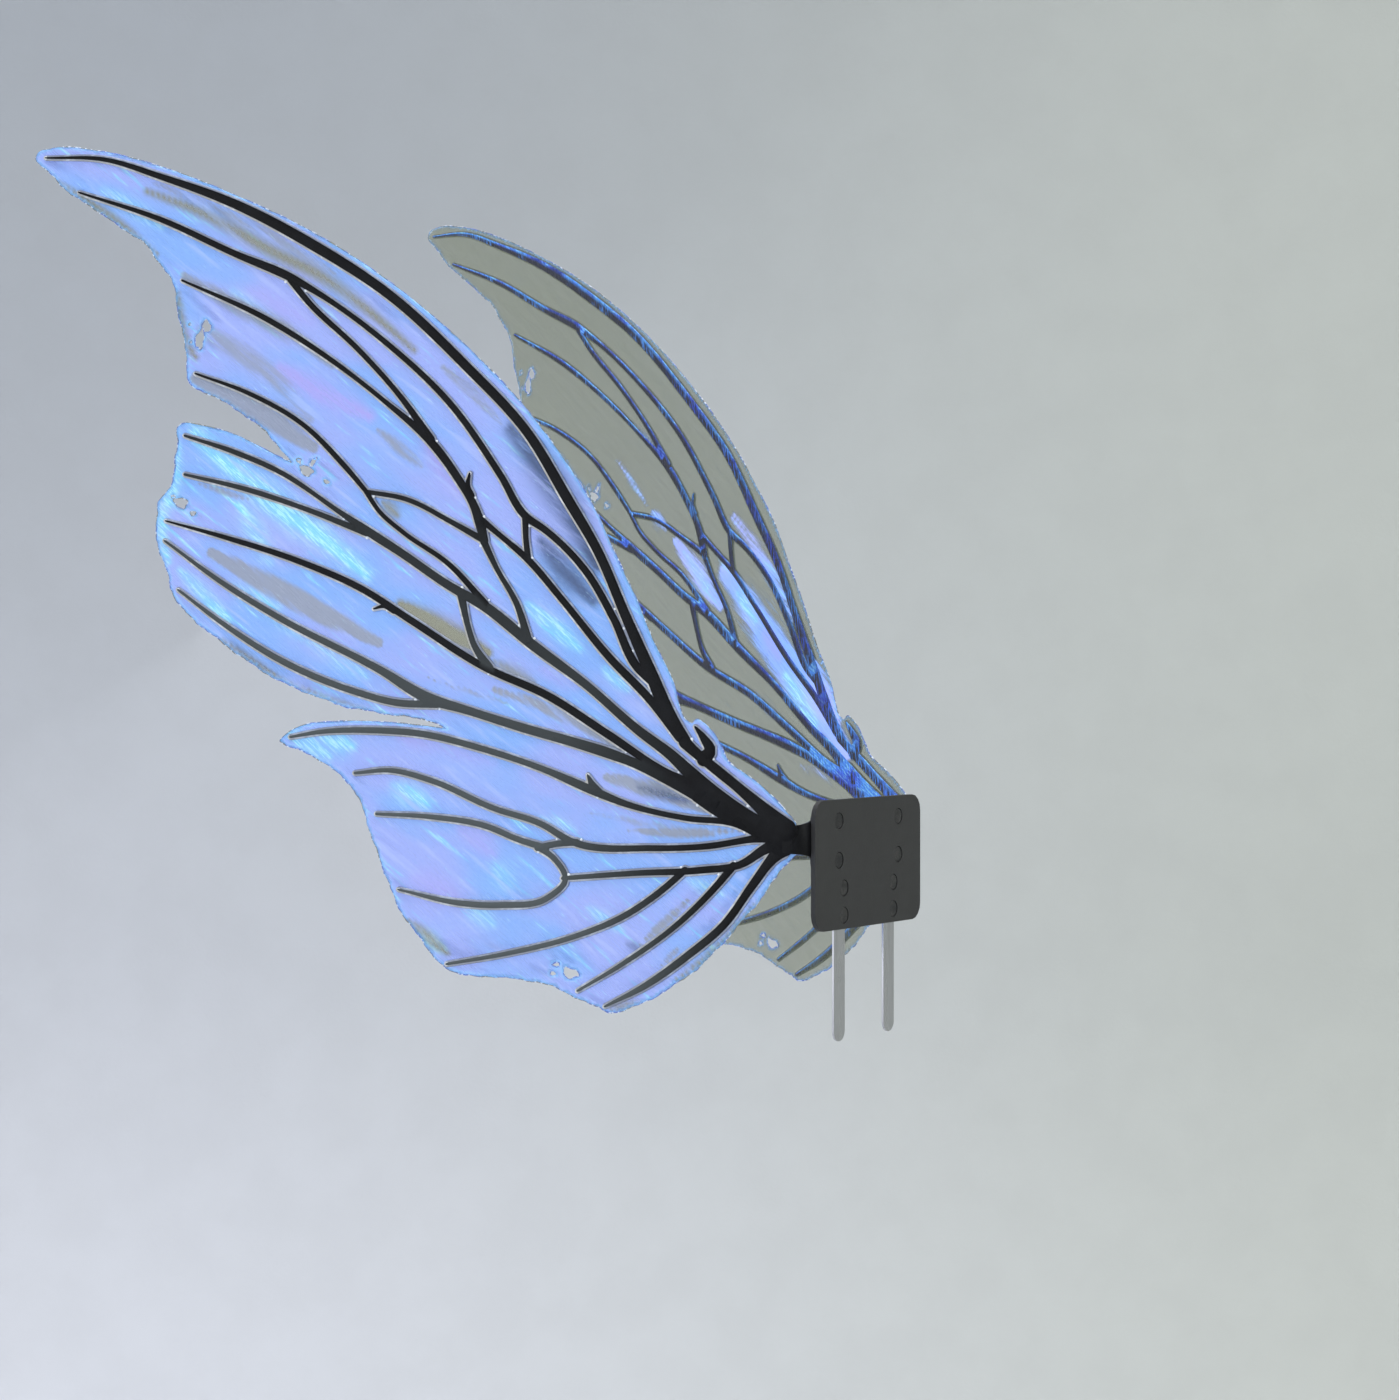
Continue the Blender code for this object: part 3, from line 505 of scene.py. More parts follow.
# The film on a square grid of (s, t): squares whose middle is inside are kept, and the border
# points move onto the film's edge along the distance field's slope.
def filmMembrane(outline, holes):
    step = filmLook["step"]
    low, high = outline.min(0) - 2 * step, outline.max(0) + 2 * step
    across, up = [np.arange(a, b, step) for a, b in zip(low, high)]
    grid = np.stack(np.meshgrid(across, up, indexing="ij"), -1)
    columns = len(up)
    middle = (grid[:-1, :-1] + grid[1:, 1:]) / 2
    inside = filmEdgeField(middle.reshape(-1, 2), outline, holes) < 0
    first = (np.arange(len(across) - 1)[:, None] * columns + np.arange(columns - 1)).ravel()[inside]
    quads = np.column_stack([first, first + columns, first + columns + 1, first + 1])
    used, flat = np.unique(quads, return_inverse=True)
    quads = flat.reshape(-1, 4)
    points = grid.reshape(-1, 2)[used]
    border = np.bincount(quads.ravel(), minlength=len(points)) < 4
    small = 0.05
    for _ in range(3):
        edge = points[border]
        shifts = [filmEdgeField(edge + np.array(move), outline, holes)
                  for move in ((0, 0), (small, 0), (-small, 0), (0, small), (0, -small))]
        slope = np.column_stack([shifts[1] - shifts[2], shifts[3] - shifts[4]])
        slope /= np.linalg.norm(slope, axis=1)[:, None] + 1e-9
        points[border] = edge - slope * shifts[0][:, None]
    edgeGap = np.clip(-filmEdgeField(points, outline, holes), 0, None)
    depth = filmRelief(points, veinDistance(points), edgeGap)
    return np.column_stack([points, depth]), quads.tolist(), edgeGap


# One number for each of the piece's points, under a name that its material reads.
def setValues(piece, name, values):
    piece.data.attributes.new(name, "FLOAT", "POINT").data.foreach_set("value", values.astype(np.float32))


# Each patch table row as a mask on the film's points, and the rim's nearness.
def paintMasks(film, side, points, edgeGap):
    for name, patches in filmPatches[side].items():
        mask = np.zeros(len(points))
        for line, halfWidth, weight in patches:
            mask = np.maximum(mask, weight * bandMask(points, line, halfWidth))
        setValues(film, name, mask)
    setValues(film, "rim", np.exp(-(edgeGap / filmLook["rimWidth"]) ** 2))


print("veins and film outline ready")
outline = filmOutline()
holes = [holeOutline(hole) for hole in filmHoles]
*membrane, edgeGap = filmMembrane(outline, holes)
films = {}
for side in sides:
    films[side] = placed(side + "_wing_film", side, membrane)
    paintMasks(films[side], side, membrane[0][:, :2], edgeGap)
    films[side].data.shade_smooth()
    wall = films[side].modifiers.new("thickness", "SOLIDIFY")
    wall.thickness, wall.offset = filmLook["thickness"] * mm, 0.0
print("film membranes made")


# Area in square metres inside the film's edge less its holes: half the sum of cross products.
def flatFilmArea():
    def area(line):
        s, t = line.T
        return abs((s * np.roll(t, -1) - t * np.roll(s, -1)).sum()) / 2
    return (area(outline) - sum(area(hole) for hole in holes)) * mm * mm


# A closed bead along a film edge: rings of eight points around the edge, the radius swelling and
# thinning with three sine waves of the run.
def hemRing(line, seed):
    gap = np.linalg.norm(np.roll(line, -1, axis=0) - line, axis=1)
    run = np.r_[0, np.cumsum(gap)]
    even = np.linspace(0, run[-1], max(12, int(run[-1] / 1.3)), endpoint=False)
    closed = np.vstack([line, line[:1]])
    path = np.column_stack([np.interp(even, run, column) for column in closed.T])
    swell = (0.25 * np.sin(even / 1.9 + seed) + 0.3 * np.sin(even / 7.3 + 2 * seed)
             + 0.2 * np.sin(even / 23.0 + 3 * seed))
    radius = filmLook["hemRadius"] * (1 + swell)
    direction = np.roll(path, -1, axis=0) - np.roll(path, 1, axis=0)
    direction /= np.linalg.norm(direction, axis=1)[:, None]
    depth = filmRelief(path, veinDistance(path), np.zeros(len(path)))
    angle = np.linspace(0, math.tau, 8, endpoint=False)
    across, through = np.cos(angle), np.sin(angle)
    points = np.stack([path[:, :1] - direction[:, 1:] * across * radius[:, None],
                       path[:, 1:] + direction[:, :1] * across * radius[:, None],
                       depth[:, None] + through * radius[:, None]], axis=-1)
    return points.reshape(-1, 3), tubeFaces(len(path), len(angle), closed=True)


# One closed object from overlapping closed shells.
def unionOf(name, shells):
    whole = shells[0]
    for shell in shells[1:]:
        union = whole.modifiers.new("join", "BOOLEAN")
        union.operation, union.solver, union.object = "UNION", "MANIFOLD", shell
    applyModifiers(whole)
    whole.name = whole.data.name = name
    for shell in shells[1:]:
        bpy.data.objects.remove(shell, do_unlink=True)
    return whole


# Bands along every vein from s = fromS, wider than it by grow, made one by union: points and faces
# on the wing plane.
def bandUnion(low, high, grow, radius, rounding, fromS):
    shells = []
    for k, path in enumerate(veinPaths.values()):
        kept = path[path[:, 0] > fromS]
        level = veinLook["levelStep"] * k  # no two bands' faces lie in one plane
        band = bandPoints(kept, low + level, high - level, radius, rounding, grow)
        shells.append(newPiece("shell", *band))
    whole = unionOf("bands", shells)
    points = vertexArray(whole)
    faces = [list(face.vertices) for face in whole.data.polygons]
    bpy.data.objects.remove(whole, do_unlink=True)
    return points, faces


# The piece's points as an array of (x, y, z).
def vertexArray(piece):
    flat = np.empty(len(piece.data.vertices) * 3)
    piece.data.vertices.foreach_get("co", flat)
    return flat.reshape(-1, 3)


# Where the seal pools into beads, whose white is a painted highlight: the narrow end of the gap
# between two veins, found as the film's points with the least distance to two veins together, and
# the free tips of the veins.
def dropPlaces(film):
    gaps = np.sort(veinGaps(film)[0], axis=0)[:2]
    both = gaps.sum(0)
    inGap = np.flatnonzero((gaps[0] > 0.25) & (gaps[1] < 1.7) & (film[:, 0] > 24))
    places = []
    for k in inGap[np.argsort(both[inGap])]:
        if all(np.hypot(*(film[k] - place)) > dropLook["apart"] for place in places):
            places.append(film[k])
    tips = [path[-1, :2] for path in veinPaths.values() if path[-1, 2] < 2]
    return places + tips


# A flat bead: a sphere's rings, size in radius and 0.45 times that in depth.
def sealDrop(place, size):
    angle = np.linspace(0, math.tau, 12, endpoint=False)
    rise = np.linspace(-80, 80, 7) * math.pi / 180
    s = place[0] + size * np.cos(rise)[:, None] * np.cos(angle)
    t = place[1] + size * np.cos(rise)[:, None] * np.sin(angle)
    n = dropLook["depth"] - size * 0.45 * np.sin(rise)[:, None] * np.ones(12)
    return np.stack([s, t, n], axis=-1).reshape(-1, 3), [face[::-1] for face in tubeFaces(7, 12)]


dropLook = {"apart": 11.0, "depth": -0.05, "size": (0.7, 1.1)}
drops = dropPlaces(membrane[0][:, :2])
dropSizes = np.linspace(*dropLook["size"], 7)
print(len(drops), "seal drops")

half = wingPlane["halfSheet"]
drawn = {
    "veins": bandUnion(-half, half, 0.0, veinLook["edgeRadius"], 2, 1.0),
    "seal_line": bandUnion(veinLook["seamLow"], half + 0.05, veinLook["seamWidth"], 0.3, 1, 3.0),
    "vein_skin": bandUnion(half - 0.1, wingPlane["film"] + veinLook["skinLift"], 0.35, 0.16, 1, 3.0),
    "film_hem": gathered([hemRing(line, k) for k, line in enumerate([outline] + holes)]),
    "seal_drops": gathered([sealDrop(place, dropSizes[k * 3 % 7]) for k, place in enumerate(drops)]),
}
wingPieces = {side: {kind: placed(f"{side}_{kind}", side, shape) for kind, shape in drawn.items()}
              for side in sides}
for side in sides:
    for piece in wingPieces[side].values():
        softShade(piece)
print("veins, seams, skin and hem made")


# Metres back to drawing points (s, t, n) in mm.
def fromWorld(points, side):
    root = hinge(side) * np.array([1.0, 1.0, 0.0])
    return (points - root) @ np.vstack(planeAxes(side)).T / mm


# UV from the drawing's (s, t), so patterns follow the wing.
def drawingUv(piece, side):
    st = fromWorld(vertexArray(piece), side)[:, :2]
    loops = np.empty(len(piece.data.loops), int)
    piece.data.loops.foreach_get("vertex_index", loops)
    layer = piece.data.uv_layers.get("UVMap") or piece.data.uv_layers.new(name="UVMap")
    layer.data.foreach_set("uv", ((st[loops] + uvFrame["shift"]) / uvFrame["size"]).ravel())
    return st


veinNames = np.array(list(veins))
nearestVein = veinNames[veinGaps(drawn["veins"][0][:, :2])[0].argmin(0)]
# these veins keep only a little of the painted sheen
lowSheenVeins = np.isin(nearestVein, ["upperTrunk", "rootHook", "costa", "second", "secondFork", "inner",
                                  "fourth", "eyeLower", "sixth", "sixthThorn", "hubWeb", "thirdThorn"])
litFrom = {"seal_line": np.array([0.95, -0.3]), "vein_skin": np.array([0.1, 1.0])}
litShare = {kind: 0.5 + 0.5 * veinSide(drawn[kind][0][:, :2]) @ toward
            for kind, toward in litFrom.items()}
uvFrame = {"shift": np.array([20.0, 110.0]), "size": 560.0}
for side in sides:
    for piece in (*wingPieces[side].values(), films[side]):
        drawingUv(piece, side)
    # painted sheen: greyer towards the hind wing and the tips, black at the root and leading edge
    st = drawn["veins"][0][:, :2]
    grey = np.clip(0.5 + (0.5 * st[:, 0] - st[:, 1]) / 260, 0, 1)
    grey *= np.clip((np.hypot(st[:, 0], st[:, 1]) - 45) / 110, 0, 1)
    grey[lowSheenVeins] *= 0.12
    setValues(wingPieces[side]["veins"], "paintedSheen", grey)
    # painted light on the seal and skin as if from behind the wearer: the share of each edge that faces it
    for kind in ("seal_line", "vein_skin"):
        setValues(wingPieces[side][kind], "lit", litShare[kind])
    # the skin's painted glints are strongest along the leading edge and at the root
    st = drawn["vein_skin"][0][:, :2]
    near = bandMask(st, filmEdge["leading"][:11], 13, 0) + bandMask(st, [(0, 0), (60, 45)], 22, 0)
    setValues(wingPieces[side]["vein_skin"], "lead", np.clip(near, 0, 1))

neck = {"bendRadius": 9.0, "bendSteps": 22, "tabEnd": 14.0, "tabSteps": 26, "tabY": 4.1, "middle": 2.0,
        "halfHeight": 8.2, "tabHalfHeight": 17.0, "thick": 1.6, "reach": 4.0, "flare": 1.3,
        "cornerRadius": 4.0, "edgeRadius": 0.45}


# A strip carried from the wing's plane round a bend and along the plate: a station's middle moves
# on the arc, its face turns from the wing's plane to the plate's, its height flares.
def neckSheet(side):
    out = sides[side]
    sweep = math.radians(wingPlane["sweepDeg"])
    lean = math.tan(math.radians(wingPlane["leanDeg"]))
    root = hinge(side) / mm
    lead = np.linspace(neck["reach"], 0.4, 5)
    share = np.linspace(0, 1, neck["bendSteps"])
    run = np.linspace(0, 1, neck["tabSteps"])[1:]
    angle = sweep * (1 - share)
    centre = np.array([abs(root[0]) - neck["bendRadius"] * math.sin(sweep),
                       root[1] + neck["bendRadius"] * math.cos(sweep)])
    bendX = centre[0] + neck["bendRadius"] * np.sin(angle)
    bendY = centre[1] - neck["bendRadius"] * np.cos(angle)
    x = np.r_[abs(root[0]) + lead * math.cos(sweep), bendX,
              bendX[-1] + (neck["tabEnd"] - bendX[-1]) * run]
    y = np.r_[root[1] + lead * math.sin(sweep), bendY, np.full(len(run), neck["tabY"])]
    turn = np.r_[np.full(len(lead), sweep), angle, np.zeros(len(run))]
    tilt = lean * np.r_[np.ones(len(lead)), 1 - share, np.zeros(len(run))]
    ease = np.clip(run * 3, 0, 1)
    ease = ease * ease * (3 - 2 * ease)
    flared = neck["halfHeight"] + neck["flare"]
    high = np.r_[np.full(len(lead), neck["halfHeight"]), neck["halfHeight"] + neck["flare"] * share**2,
                 flared + (neck["tabHalfHeight"] - flared) * ease]
    corner = np.clip((1 - run) * abs(bendX[-1] - neck["tabEnd"]) / neck["cornerRadius"], 0, 1)
    high[-len(run):] -= neck["cornerRadius"] * (1 - np.sqrt(1 - (1 - corner) ** 2))
    middle = np.r_[np.full(len(lead) + len(share), neck["middle"]), neck["middle"] * (1 - ease)]
    radius = neck["edgeRadius"]
    quarter = np.linspace(0, math.pi / 2, 4)
    signs = np.repeat([[1, 1], [-1, 1], [-1, -1], [1, -1]], 4, axis=0)
    around = np.tile(quarter, 4) + np.repeat(np.arange(4), 4) * math.pi / 2
    rise = signs[:, 0] * (high[:, None] - radius) + radius * np.cos(around) + middle[:, None]
    through = signs[:, 1] * (neck["thick"] / 2 - radius) + radius * np.sin(around)
    faceX, faceY = np.sin(turn)[:, None], -np.cos(turn)[:, None]
    px = x[:, None] + faceX * through - faceX * rise * np.tan(tilt)[:, None]
    py = y[:, None] + faceY * through - faceY * rise * np.tan(tilt)[:, None]
    points = np.stack([out * px, py, rise], axis=-1).reshape(-1, 3) * mm
    strip = newPiece(side + "_neck_strip", points, tubeFaces(len(x), len(around)))
    mesh = bmesh.new()
    mesh.from_mesh(strip.data)
    bmesh.ops.recalc_face_normals(mesh, faces=mesh.faces)
    mesh.to_mesh(strip.data)
    mesh.free()
    softShade(strip, 40)
    return strip


necks = {side: neckSheet(side) for side in sides}


# Merged copies of frame nodes as one piece, their sharp edges rounded.
def refined(name, nodeNames, bevel, segments=2):
    mesh = bmesh.new()
    for nodeName in nodeNames:
        mesh.from_mesh(frame["nodes"][nodeName].data)
    bmesh.ops.remove_doubles(mesh, verts=mesh.verts, dist=1e-6)
    bmesh.ops.dissolve_limit(mesh, angle_limit=math.radians(1), verts=mesh.verts, edges=mesh.edges)
    data = bpy.data.meshes.new(name)
    mesh.to_mesh(data)
    mesh.free()
    piece = bpy.data.objects.new(name, data)
    bpy.context.collection.objects.link(piece)
    softShade(piece, 30)
    if bevel:
        edge = piece.modifiers.new("edge", "BEVEL")
        edge.width, edge.segments, edge.limit_method = bevel * mm, segments, "ANGLE"
        edge.angle_limit = math.radians(40)
        edge.harden_normals = True
    return piece


screwLook = {"slotWidth": 1.0, "slotDepth": 0.8, "edge": 0.22}


# A frame screw with a straight slot cut across its head.
def slottedScrew(name, node):
    low, high = (np.array(v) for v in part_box(node))
    head = (low + high) / 2
    piece = refined(name, [node], 0)
    reach = (high - low)[0]
    half = screwLook["slotWidth"] / 2 * mm
    floor = high[1] - screwLook["slotDepth"] * mm
    slot = newPiece("slot", *boxShell([head[0] - reach, floor, head[2] - half],
                                      [head[0] + reach, high[1] + mm, head[2] + half]))
    turn = math.radians((abs(head[2]) * 7919 + abs(head[0]) * 104729) * 1000 % 180)  # as if by chance
    c, s = math.cos(turn), math.sin(turn)
    x, y, z = (vertexArray(slot) - head).T
    turned = np.column_stack([x * c - z * s, y, x * s + z * c]) + head
    slot.data.vertices.foreach_set("co", turned.ravel())
    carve = piece.modifiers.new("slot", "BOOLEAN")
    carve.operation, carve.solver, carve.object = "DIFFERENCE", "MANIFOLD", slot
    applyModifiers(piece)
    bpy.data.objects.remove(slot, do_unlink=True)
    softShade(piece, 30)
    edge = piece.modifiers.new("edge", "BEVEL")
    edge.width, edge.segments, edge.limit_method = screwLook["edge"] * mm, 2, "ANGLE"
    edge.angle_limit = math.radians(50)
    return piece


# Points and outward faces of a box between two corners.
def boxShell(low, high):
    corners = np.array([[(low, high)[k >> axis & 1][axis] for axis in range(3)] for k in range(8)], float)
    return corners, [[0, 2, 3, 1], [4, 5, 7, 6], [0, 1, 5, 4], [2, 6, 7, 3], [0, 4, 6, 2], [1, 3, 7, 5]]


plate = refined("back_plate_body", ["back_plate"], 0.7, 3)
clamps = {side: refined(side + "_clamp_bar", [side + "_root_clamp"], 0.5, 2) for side in sides}
stays = {side: refined(side + "_stay_blade", [side + "_stay"], 0.3, 2) for side in sides}
posts, screws = {}, {}
for side in sides:
    for place in ("clamp_upper", "clamp_lower", "stay_upper", "stay_lower"):
        base = f"{side}_{place}"
        posts[base] = refined(base + "_post_turned", [base + "_post"], 0.25, 2)
        screws[base] = slottedScrew(base + "_screw_slotted", base + "_screw")
print("plate, clamps, stays, posts and screws made")


# A shader node with its settings; each input is a value or a socket to link from.
def addNode(tree, kind, inputs=None, **settings):
    node = tree.nodes.new("ShaderNode" + kind)
    for name, value in settings.items():
        setattr(node, name, value)
    for key, value in (inputs or {}).items():
        if isinstance(value, bpy.types.NodeSocket):
            tree.links.new(value, node.inputs[key])
        else:
            node.inputs[key].default_value = value
    return node


# One Math node's answer.
def maths(tree, operation, first, second=0.0, clamp=False):
    return addNode(tree, "Math", {0: first, 1: second}, operation=operation, use_clamp=clamp).outputs[0]


# First where the factor is 0, second where it is 1.
def mixed(tree, factor, first, second):
    return addNode(tree, "Mix", {0: factor, 6: first, 7: second}, data_type="RGBA").outputs[2]


# Value remapped from low..high to toLow..toHigh, smoothly and clamped.
def ramp(tree, value, low, high, toLow=0.0, toHigh=1.0):
    return addNode(tree, "MapRange", {0: value, 1: low, 2: high, 3: toLow, 4: toHigh},
                   interpolation_type="SMOOTHSTEP").outputs[0]


# Noise from 0 to 1 over the vector times the scale.
def noise(tree, vector, scale, detail=2.0, rough=0.5):
    return addNode(tree, "TexNoise", {"Vector": vector, "Scale": scale, "Detail": detail,
                                      "Roughness": rough}).outputs[0]


# A node group with named sockets: inputs are (name, default), a colour when it has 4 numbers.
def makeGroup(name, inputs, outputs):
    tree = bpy.data.node_groups.new(name, "ShaderNodeTree")
    for label, default in inputs:
        kind = ("NodeSocketVector" if default is None else
                "NodeSocketColor" if hasattr(default, "__len__") else "NodeSocketFloat")
        socket = tree.interface.new_socket(label, in_out="INPUT", socket_type=kind)
        if default is not None:
            socket.default_value = default
    for label, kind in outputs:
        tree.interface.new_socket(label, in_out="OUTPUT", socket_type="NodeSocket" + kind)
    return tree, tree.nodes.new("NodeGroupInput").outputs, tree.nodes.new("NodeGroupOutput").inputs


# The group placed in the material; returns its outputs.
def useGroup(material, group, inputs):
    node = addNode(material.node_tree, "Group", None, node_tree=group)
    for key, value in inputs.items():
        if isinstance(value, bpy.types.NodeSocket):
            material.node_tree.links.new(value, node.inputs[key])
        else:
            node.inputs[key].default_value = value
    return node.outputs


# A Principled material with plain values on the shader's own sockets.
def newMaterial(name, **sockets):
    material = bpy.data.materials.new(name)
    material.use_nodes = True
    shader = material.node_tree.nodes["Principled BSDF"]
    for label, value in sockets.items():
        shader.inputs[label.replace("_", " ")].default_value = value
    return material, material.node_tree, shader


# A named value of the piece's own points.
def attribute(tree, name):
    return addNode(tree, "Attribute", attribute_name=name).outputs["Fac"]


# UV turned and scaled so that one unit is along mm by across mm.
def stretchedUv(tree, uv, along, across, turnDeg):
    placing = {"Vector": uv, "Rotation": (0, 0, math.radians(turnDeg)),
               "Scale": (along / uvFrame["size"], across / uvFrame["size"], 1)}
    return addNode(tree, "Mapping", placing, vector_type="TEXTURE").outputs[0]


# Colours of the shot film. The glint, pale aqua and rim colours are painted highlights, and the dark colour
# is a painted reflection.
shineColors = {
    "aquaDeep": (0.24, 0.68, 1.0, 1), "aquaPale": (0.52, 0.97, 1.0, 1), "violet": (0.47, 0.38, 0.86, 1),
    "deepBlue": (0.09, 0.21, 0.88, 1), "paleBlue": (0.52, 0.62, 0.98, 1), "grey": (0.31, 0.36, 0.50, 1),
    "dark": (0.055, 0.10, 0.24, 1), "paintedGlint": (0.55, 0.86, 1.0, 1), "rim": (0.26, 0.58, 1.0, 1),
}


# First times second.
def times(tree, first, second, clamp=False):
    return maths(tree, "MULTIPLY", first, second, clamp)


# The sum of two values, each times its share.
def blended(tree, first, firstShare, second, secondShare):
    return maths(tree, "ADD", times(tree, first, firstShare), times(tree, second, secondShare))


# Colour of the shot film: slow drifts between two blues, aqua and violet where masked, long
# streaks, and clear and grey places, with painted light over it: dark places that are painted
# reflections, painted glints and sparkle on fine streaks and at the rim, and a painted glow. Alpha
# and height go with it.
def filmShineGroup():
    masks = [(name, 0.0) for name in ("Clear", "Blue", "Grey", "Dark", "Aqua", "Violet", "Rim")]
    colors = [(name, (0, 0, 0, 1)) for name in ("First Color", "Second Color", "Clear Color")]
    shares = [("Body Alpha", 0.9), ("Clear Alpha", 0.5), ("Streaks", 1.0), ("Bareness", 0.0)]
    tree, given, out = makeGroup("filmShine", [("UV", None)] + masks + colors + shares,
                                 [("Color", "Color"), ("Painted Glow", "Color"), ("Alpha", "Float"),
                                  ("Roughness", "Float"), ("Height", "Float")])
    uv = given["UV"]
    drift = noise(tree, stretchedUv(tree, uv, 90, 45, 25), 1.0, 2.0)
    longStreak = noise(tree, stretchedUv(tree, uv, 58, 5.5, 38), 1.0, 3.0, 0.6)
    fineStreak = noise(tree, stretchedUv(tree, uv, 15, 1.6, 42), 1.0, 3.0, 0.65)
    crinkle = noise(tree, stretchedUv(tree, uv, 3.4, 1.3, 130), 1.0, 2.0)
    streak = blended(tree, longStreak, 0.6, fineStreak, 0.4)
    body = mixed(tree, ramp(tree, drift, 0.36, 0.62), given["First Color"], given["Second Color"])
    # aqua in its own patches, and wherever a long streak is strong
    aqua = times(tree, given["Aqua"], ramp(tree, streak, 0.34, 0.58, 0.5, 1.0))
    aqua = maths(tree, "ADD", aqua, times(tree, ramp(tree, longStreak, 0.58, 0.72), given["Streaks"]), True)
    # the pale aqua on the finest streaks is a painted sparkle
    tint = ramp(tree, fineStreak, 0.46, 0.62)
    tint = mixed(tree, tint, shineColors["aquaDeep"], shineColors["aquaPale"])
    body = mixed(tree, aqua, body, tint)
    violet = times(tree, given["Violet"], ramp(tree, streak, 0.3, 0.6, 0.3, 0.9))
    body = mixed(tree, violet, body, shineColors["violet"])
    deep = times(tree, ramp(tree, fineStreak, 0.6, 0.74), given["Streaks"])
    body = mixed(tree, times(tree, deep, 0.6), body, shineColors["deepBlue"])
    pale = times(tree, ramp(tree, maths(tree, "SUBTRACT", 1.0, longStreak), 0.56, 0.70), 0.35)
    body = mixed(tree, pale, body, shineColors["paleBlue"])
    # a bare film is clear but for its blue patches, whose edges the streaks break up
    broken = times(tree, maths(tree, "SUBTRACT", streak, 0.5), 2.0)
    shot = ramp(tree, maths(tree, "ADD", given["Blue"], broken), 0.1, 1.0)
    bare = times(tree, given["Bareness"], maths(tree, "SUBTRACT", 1.0, shot))
    clear = times(tree, given["Clear"], ramp(tree, longStreak, 0.3, 0.55, 0.75, 1.2), True)
    clear = maths(tree, "MAXIMUM", clear, bare)
    grey = ramp(tree, times(tree, given["Grey"], ramp(tree, longStreak, 0.3, 0.6, 0.6, 1.15)), 0.25, 0.75)
    # the dark places are painted reflections
    dark = times(tree, given["Dark"], ramp(tree, streak, 0.3, 0.55, 0.5, 1.1), True)
    body = mixed(tree, clear, body, given["Clear Color"])
    body = mixed(tree, grey, body, shineColors["grey"])
    body = mixed(tree, dark, body, shineColors["dark"])
    # painted glints on the finest streaks, kept off the clear film
    paintedGlint = times(tree, ramp(tree, fineStreak, 0.62, 0.76), 0.75)
    body = mixed(tree, times(tree, paintedGlint, maths(tree, "SUBTRACT", 1.0, clear)), body, shineColors["paintedGlint"])
    # painted bright blue glints along the free edge where it crinkles
    rim = times(tree, given["Rim"], ramp(tree, crinkle, 0.36, 0.56, 0.3, 1.0))
    body = mixed(tree, rim, body, shineColors["rim"])
    thin = maths(tree, "MAXIMUM", clear, times(tree, grey, 0.6))
    seeThrough = {0: thin, 1: 0.0, 2: 1.0, 3: given["Body Alpha"], 4: given["Clear Alpha"]}
    alpha = addNode(tree, "MapRange", seeThrough).outputs[0]
    alpha = maths(tree, "ADD", alpha, times(tree, given["Rim"], 0.3), True)
    height = maths(tree, "ADD", times(tree, longStreak, 0.5), blended(tree, fineStreak, 0.3, crinkle, 0.25))
    links = tree.links
    links.new(body, out["Color"])
    # painted glow: the shot film's colour also shines as emission
    links.new(mixed(tree, thin, body, (0, 0, 0, 1)), out["Painted Glow"])
    links.new(alpha, out["Alpha"])
    links.new(ramp(tree, streak, 0.3, 0.7, 0.2, 0.36), out["Roughness"])
    links.new(height, out["Height"])
    return tree


# A finish's small unevenness: fine grain and soft blotches mix two colours and vary roughness.
def wearGrainGroup():
    given = [("Vector", None), ("Color", (0, 0, 0, 1)), ("Worn Color", (0, 0, 0, 1)), ("Grain Scale", 900.0),
             ("Blotch Scale", 40.0), ("Wear", 0.5), ("Rough Low", 0.3), ("Rough High", 0.5)]
    tree, given, out = makeGroup("wearGrain", given,
                                 [("Color", "Color"), ("Roughness", "Float"), ("Height", "Float")])
    grain = noise(tree, given["Vector"], given["Grain Scale"], 2.0, 0.6)
    blotch = noise(tree, given["Vector"], given["Blotch Scale"], 3.0, 0.55)
    worn = ramp(tree, blended(tree, grain, 0.4, blotch, 0.6), 0.42, 0.66)
    worn = times(tree, worn, given["Wear"])
    rough = {0: blotch, 1: 0.3, 2: 0.7, 3: given["Rough Low"], 4: given["Rough High"]}
    tree.links.new(mixed(tree, worn, given["Color"], given["Worn Color"]), out["Color"])
    tree.links.new(addNode(tree, "MapRange", rough).outputs[0], out["Roughness"])
    tree.links.new(blended(tree, grain, 0.7, blotch, 0.3), out["Height"])
    return tree


filmShine, wearGrain = filmShineGroup(), wearGrainGroup()


# Height turned into the shader's normal.
def bumped(tree, shader, height, strength, distance):
    bump = addNode(tree, "Bump", {"Height": height, "Strength": strength, "Distance": distance})
    tree.links.new(bump.outputs["Normal"], shader.inputs["Normal"])


# The shot film of one side, from the shine group and that side's look.
def filmMaterial(side, look):
    material, tree, shader = newMaterial(side + "FilmShot", Coat_Weight=look["coat"], Coat_Roughness=0.07,
                                         IOR=look["ior"], Metallic=look["metallic"])
    inputs = {label.capitalize(): attribute(tree, label) for label in (*filmPatches[side], "rim")}
    inputs.update({"UV": addNode(tree, "UVMap", uv_map="UVMap").outputs[0], "First Color": look["first"],
                   "Second Color": look["second"], "Clear Color": look["clearColor"],
                   "Body Alpha": look["bodyAlpha"], "Clear Alpha": look["clearAlpha"],
                   "Streaks": look["streaks"], "Bareness": look["bareness"]})
    shine = useGroup(material, filmShine, inputs)
    tree.links.new(shine["Color"], shader.inputs["Base Color"])
    tree.links.new(shine["Alpha"], shader.inputs["Alpha"])
    # the painted glow goes to the emission
    tree.links.new(shine["Painted Glow"], shader.inputs["Emission Color"])
    shader.inputs["Emission Strength"].default_value = look["paintedGlow"]
    tree.links.new(shine["Roughness"], shader.inputs["Roughness"])
    bumped(tree, shader, shine["Height"], 0.35, 0.0006)
    return material
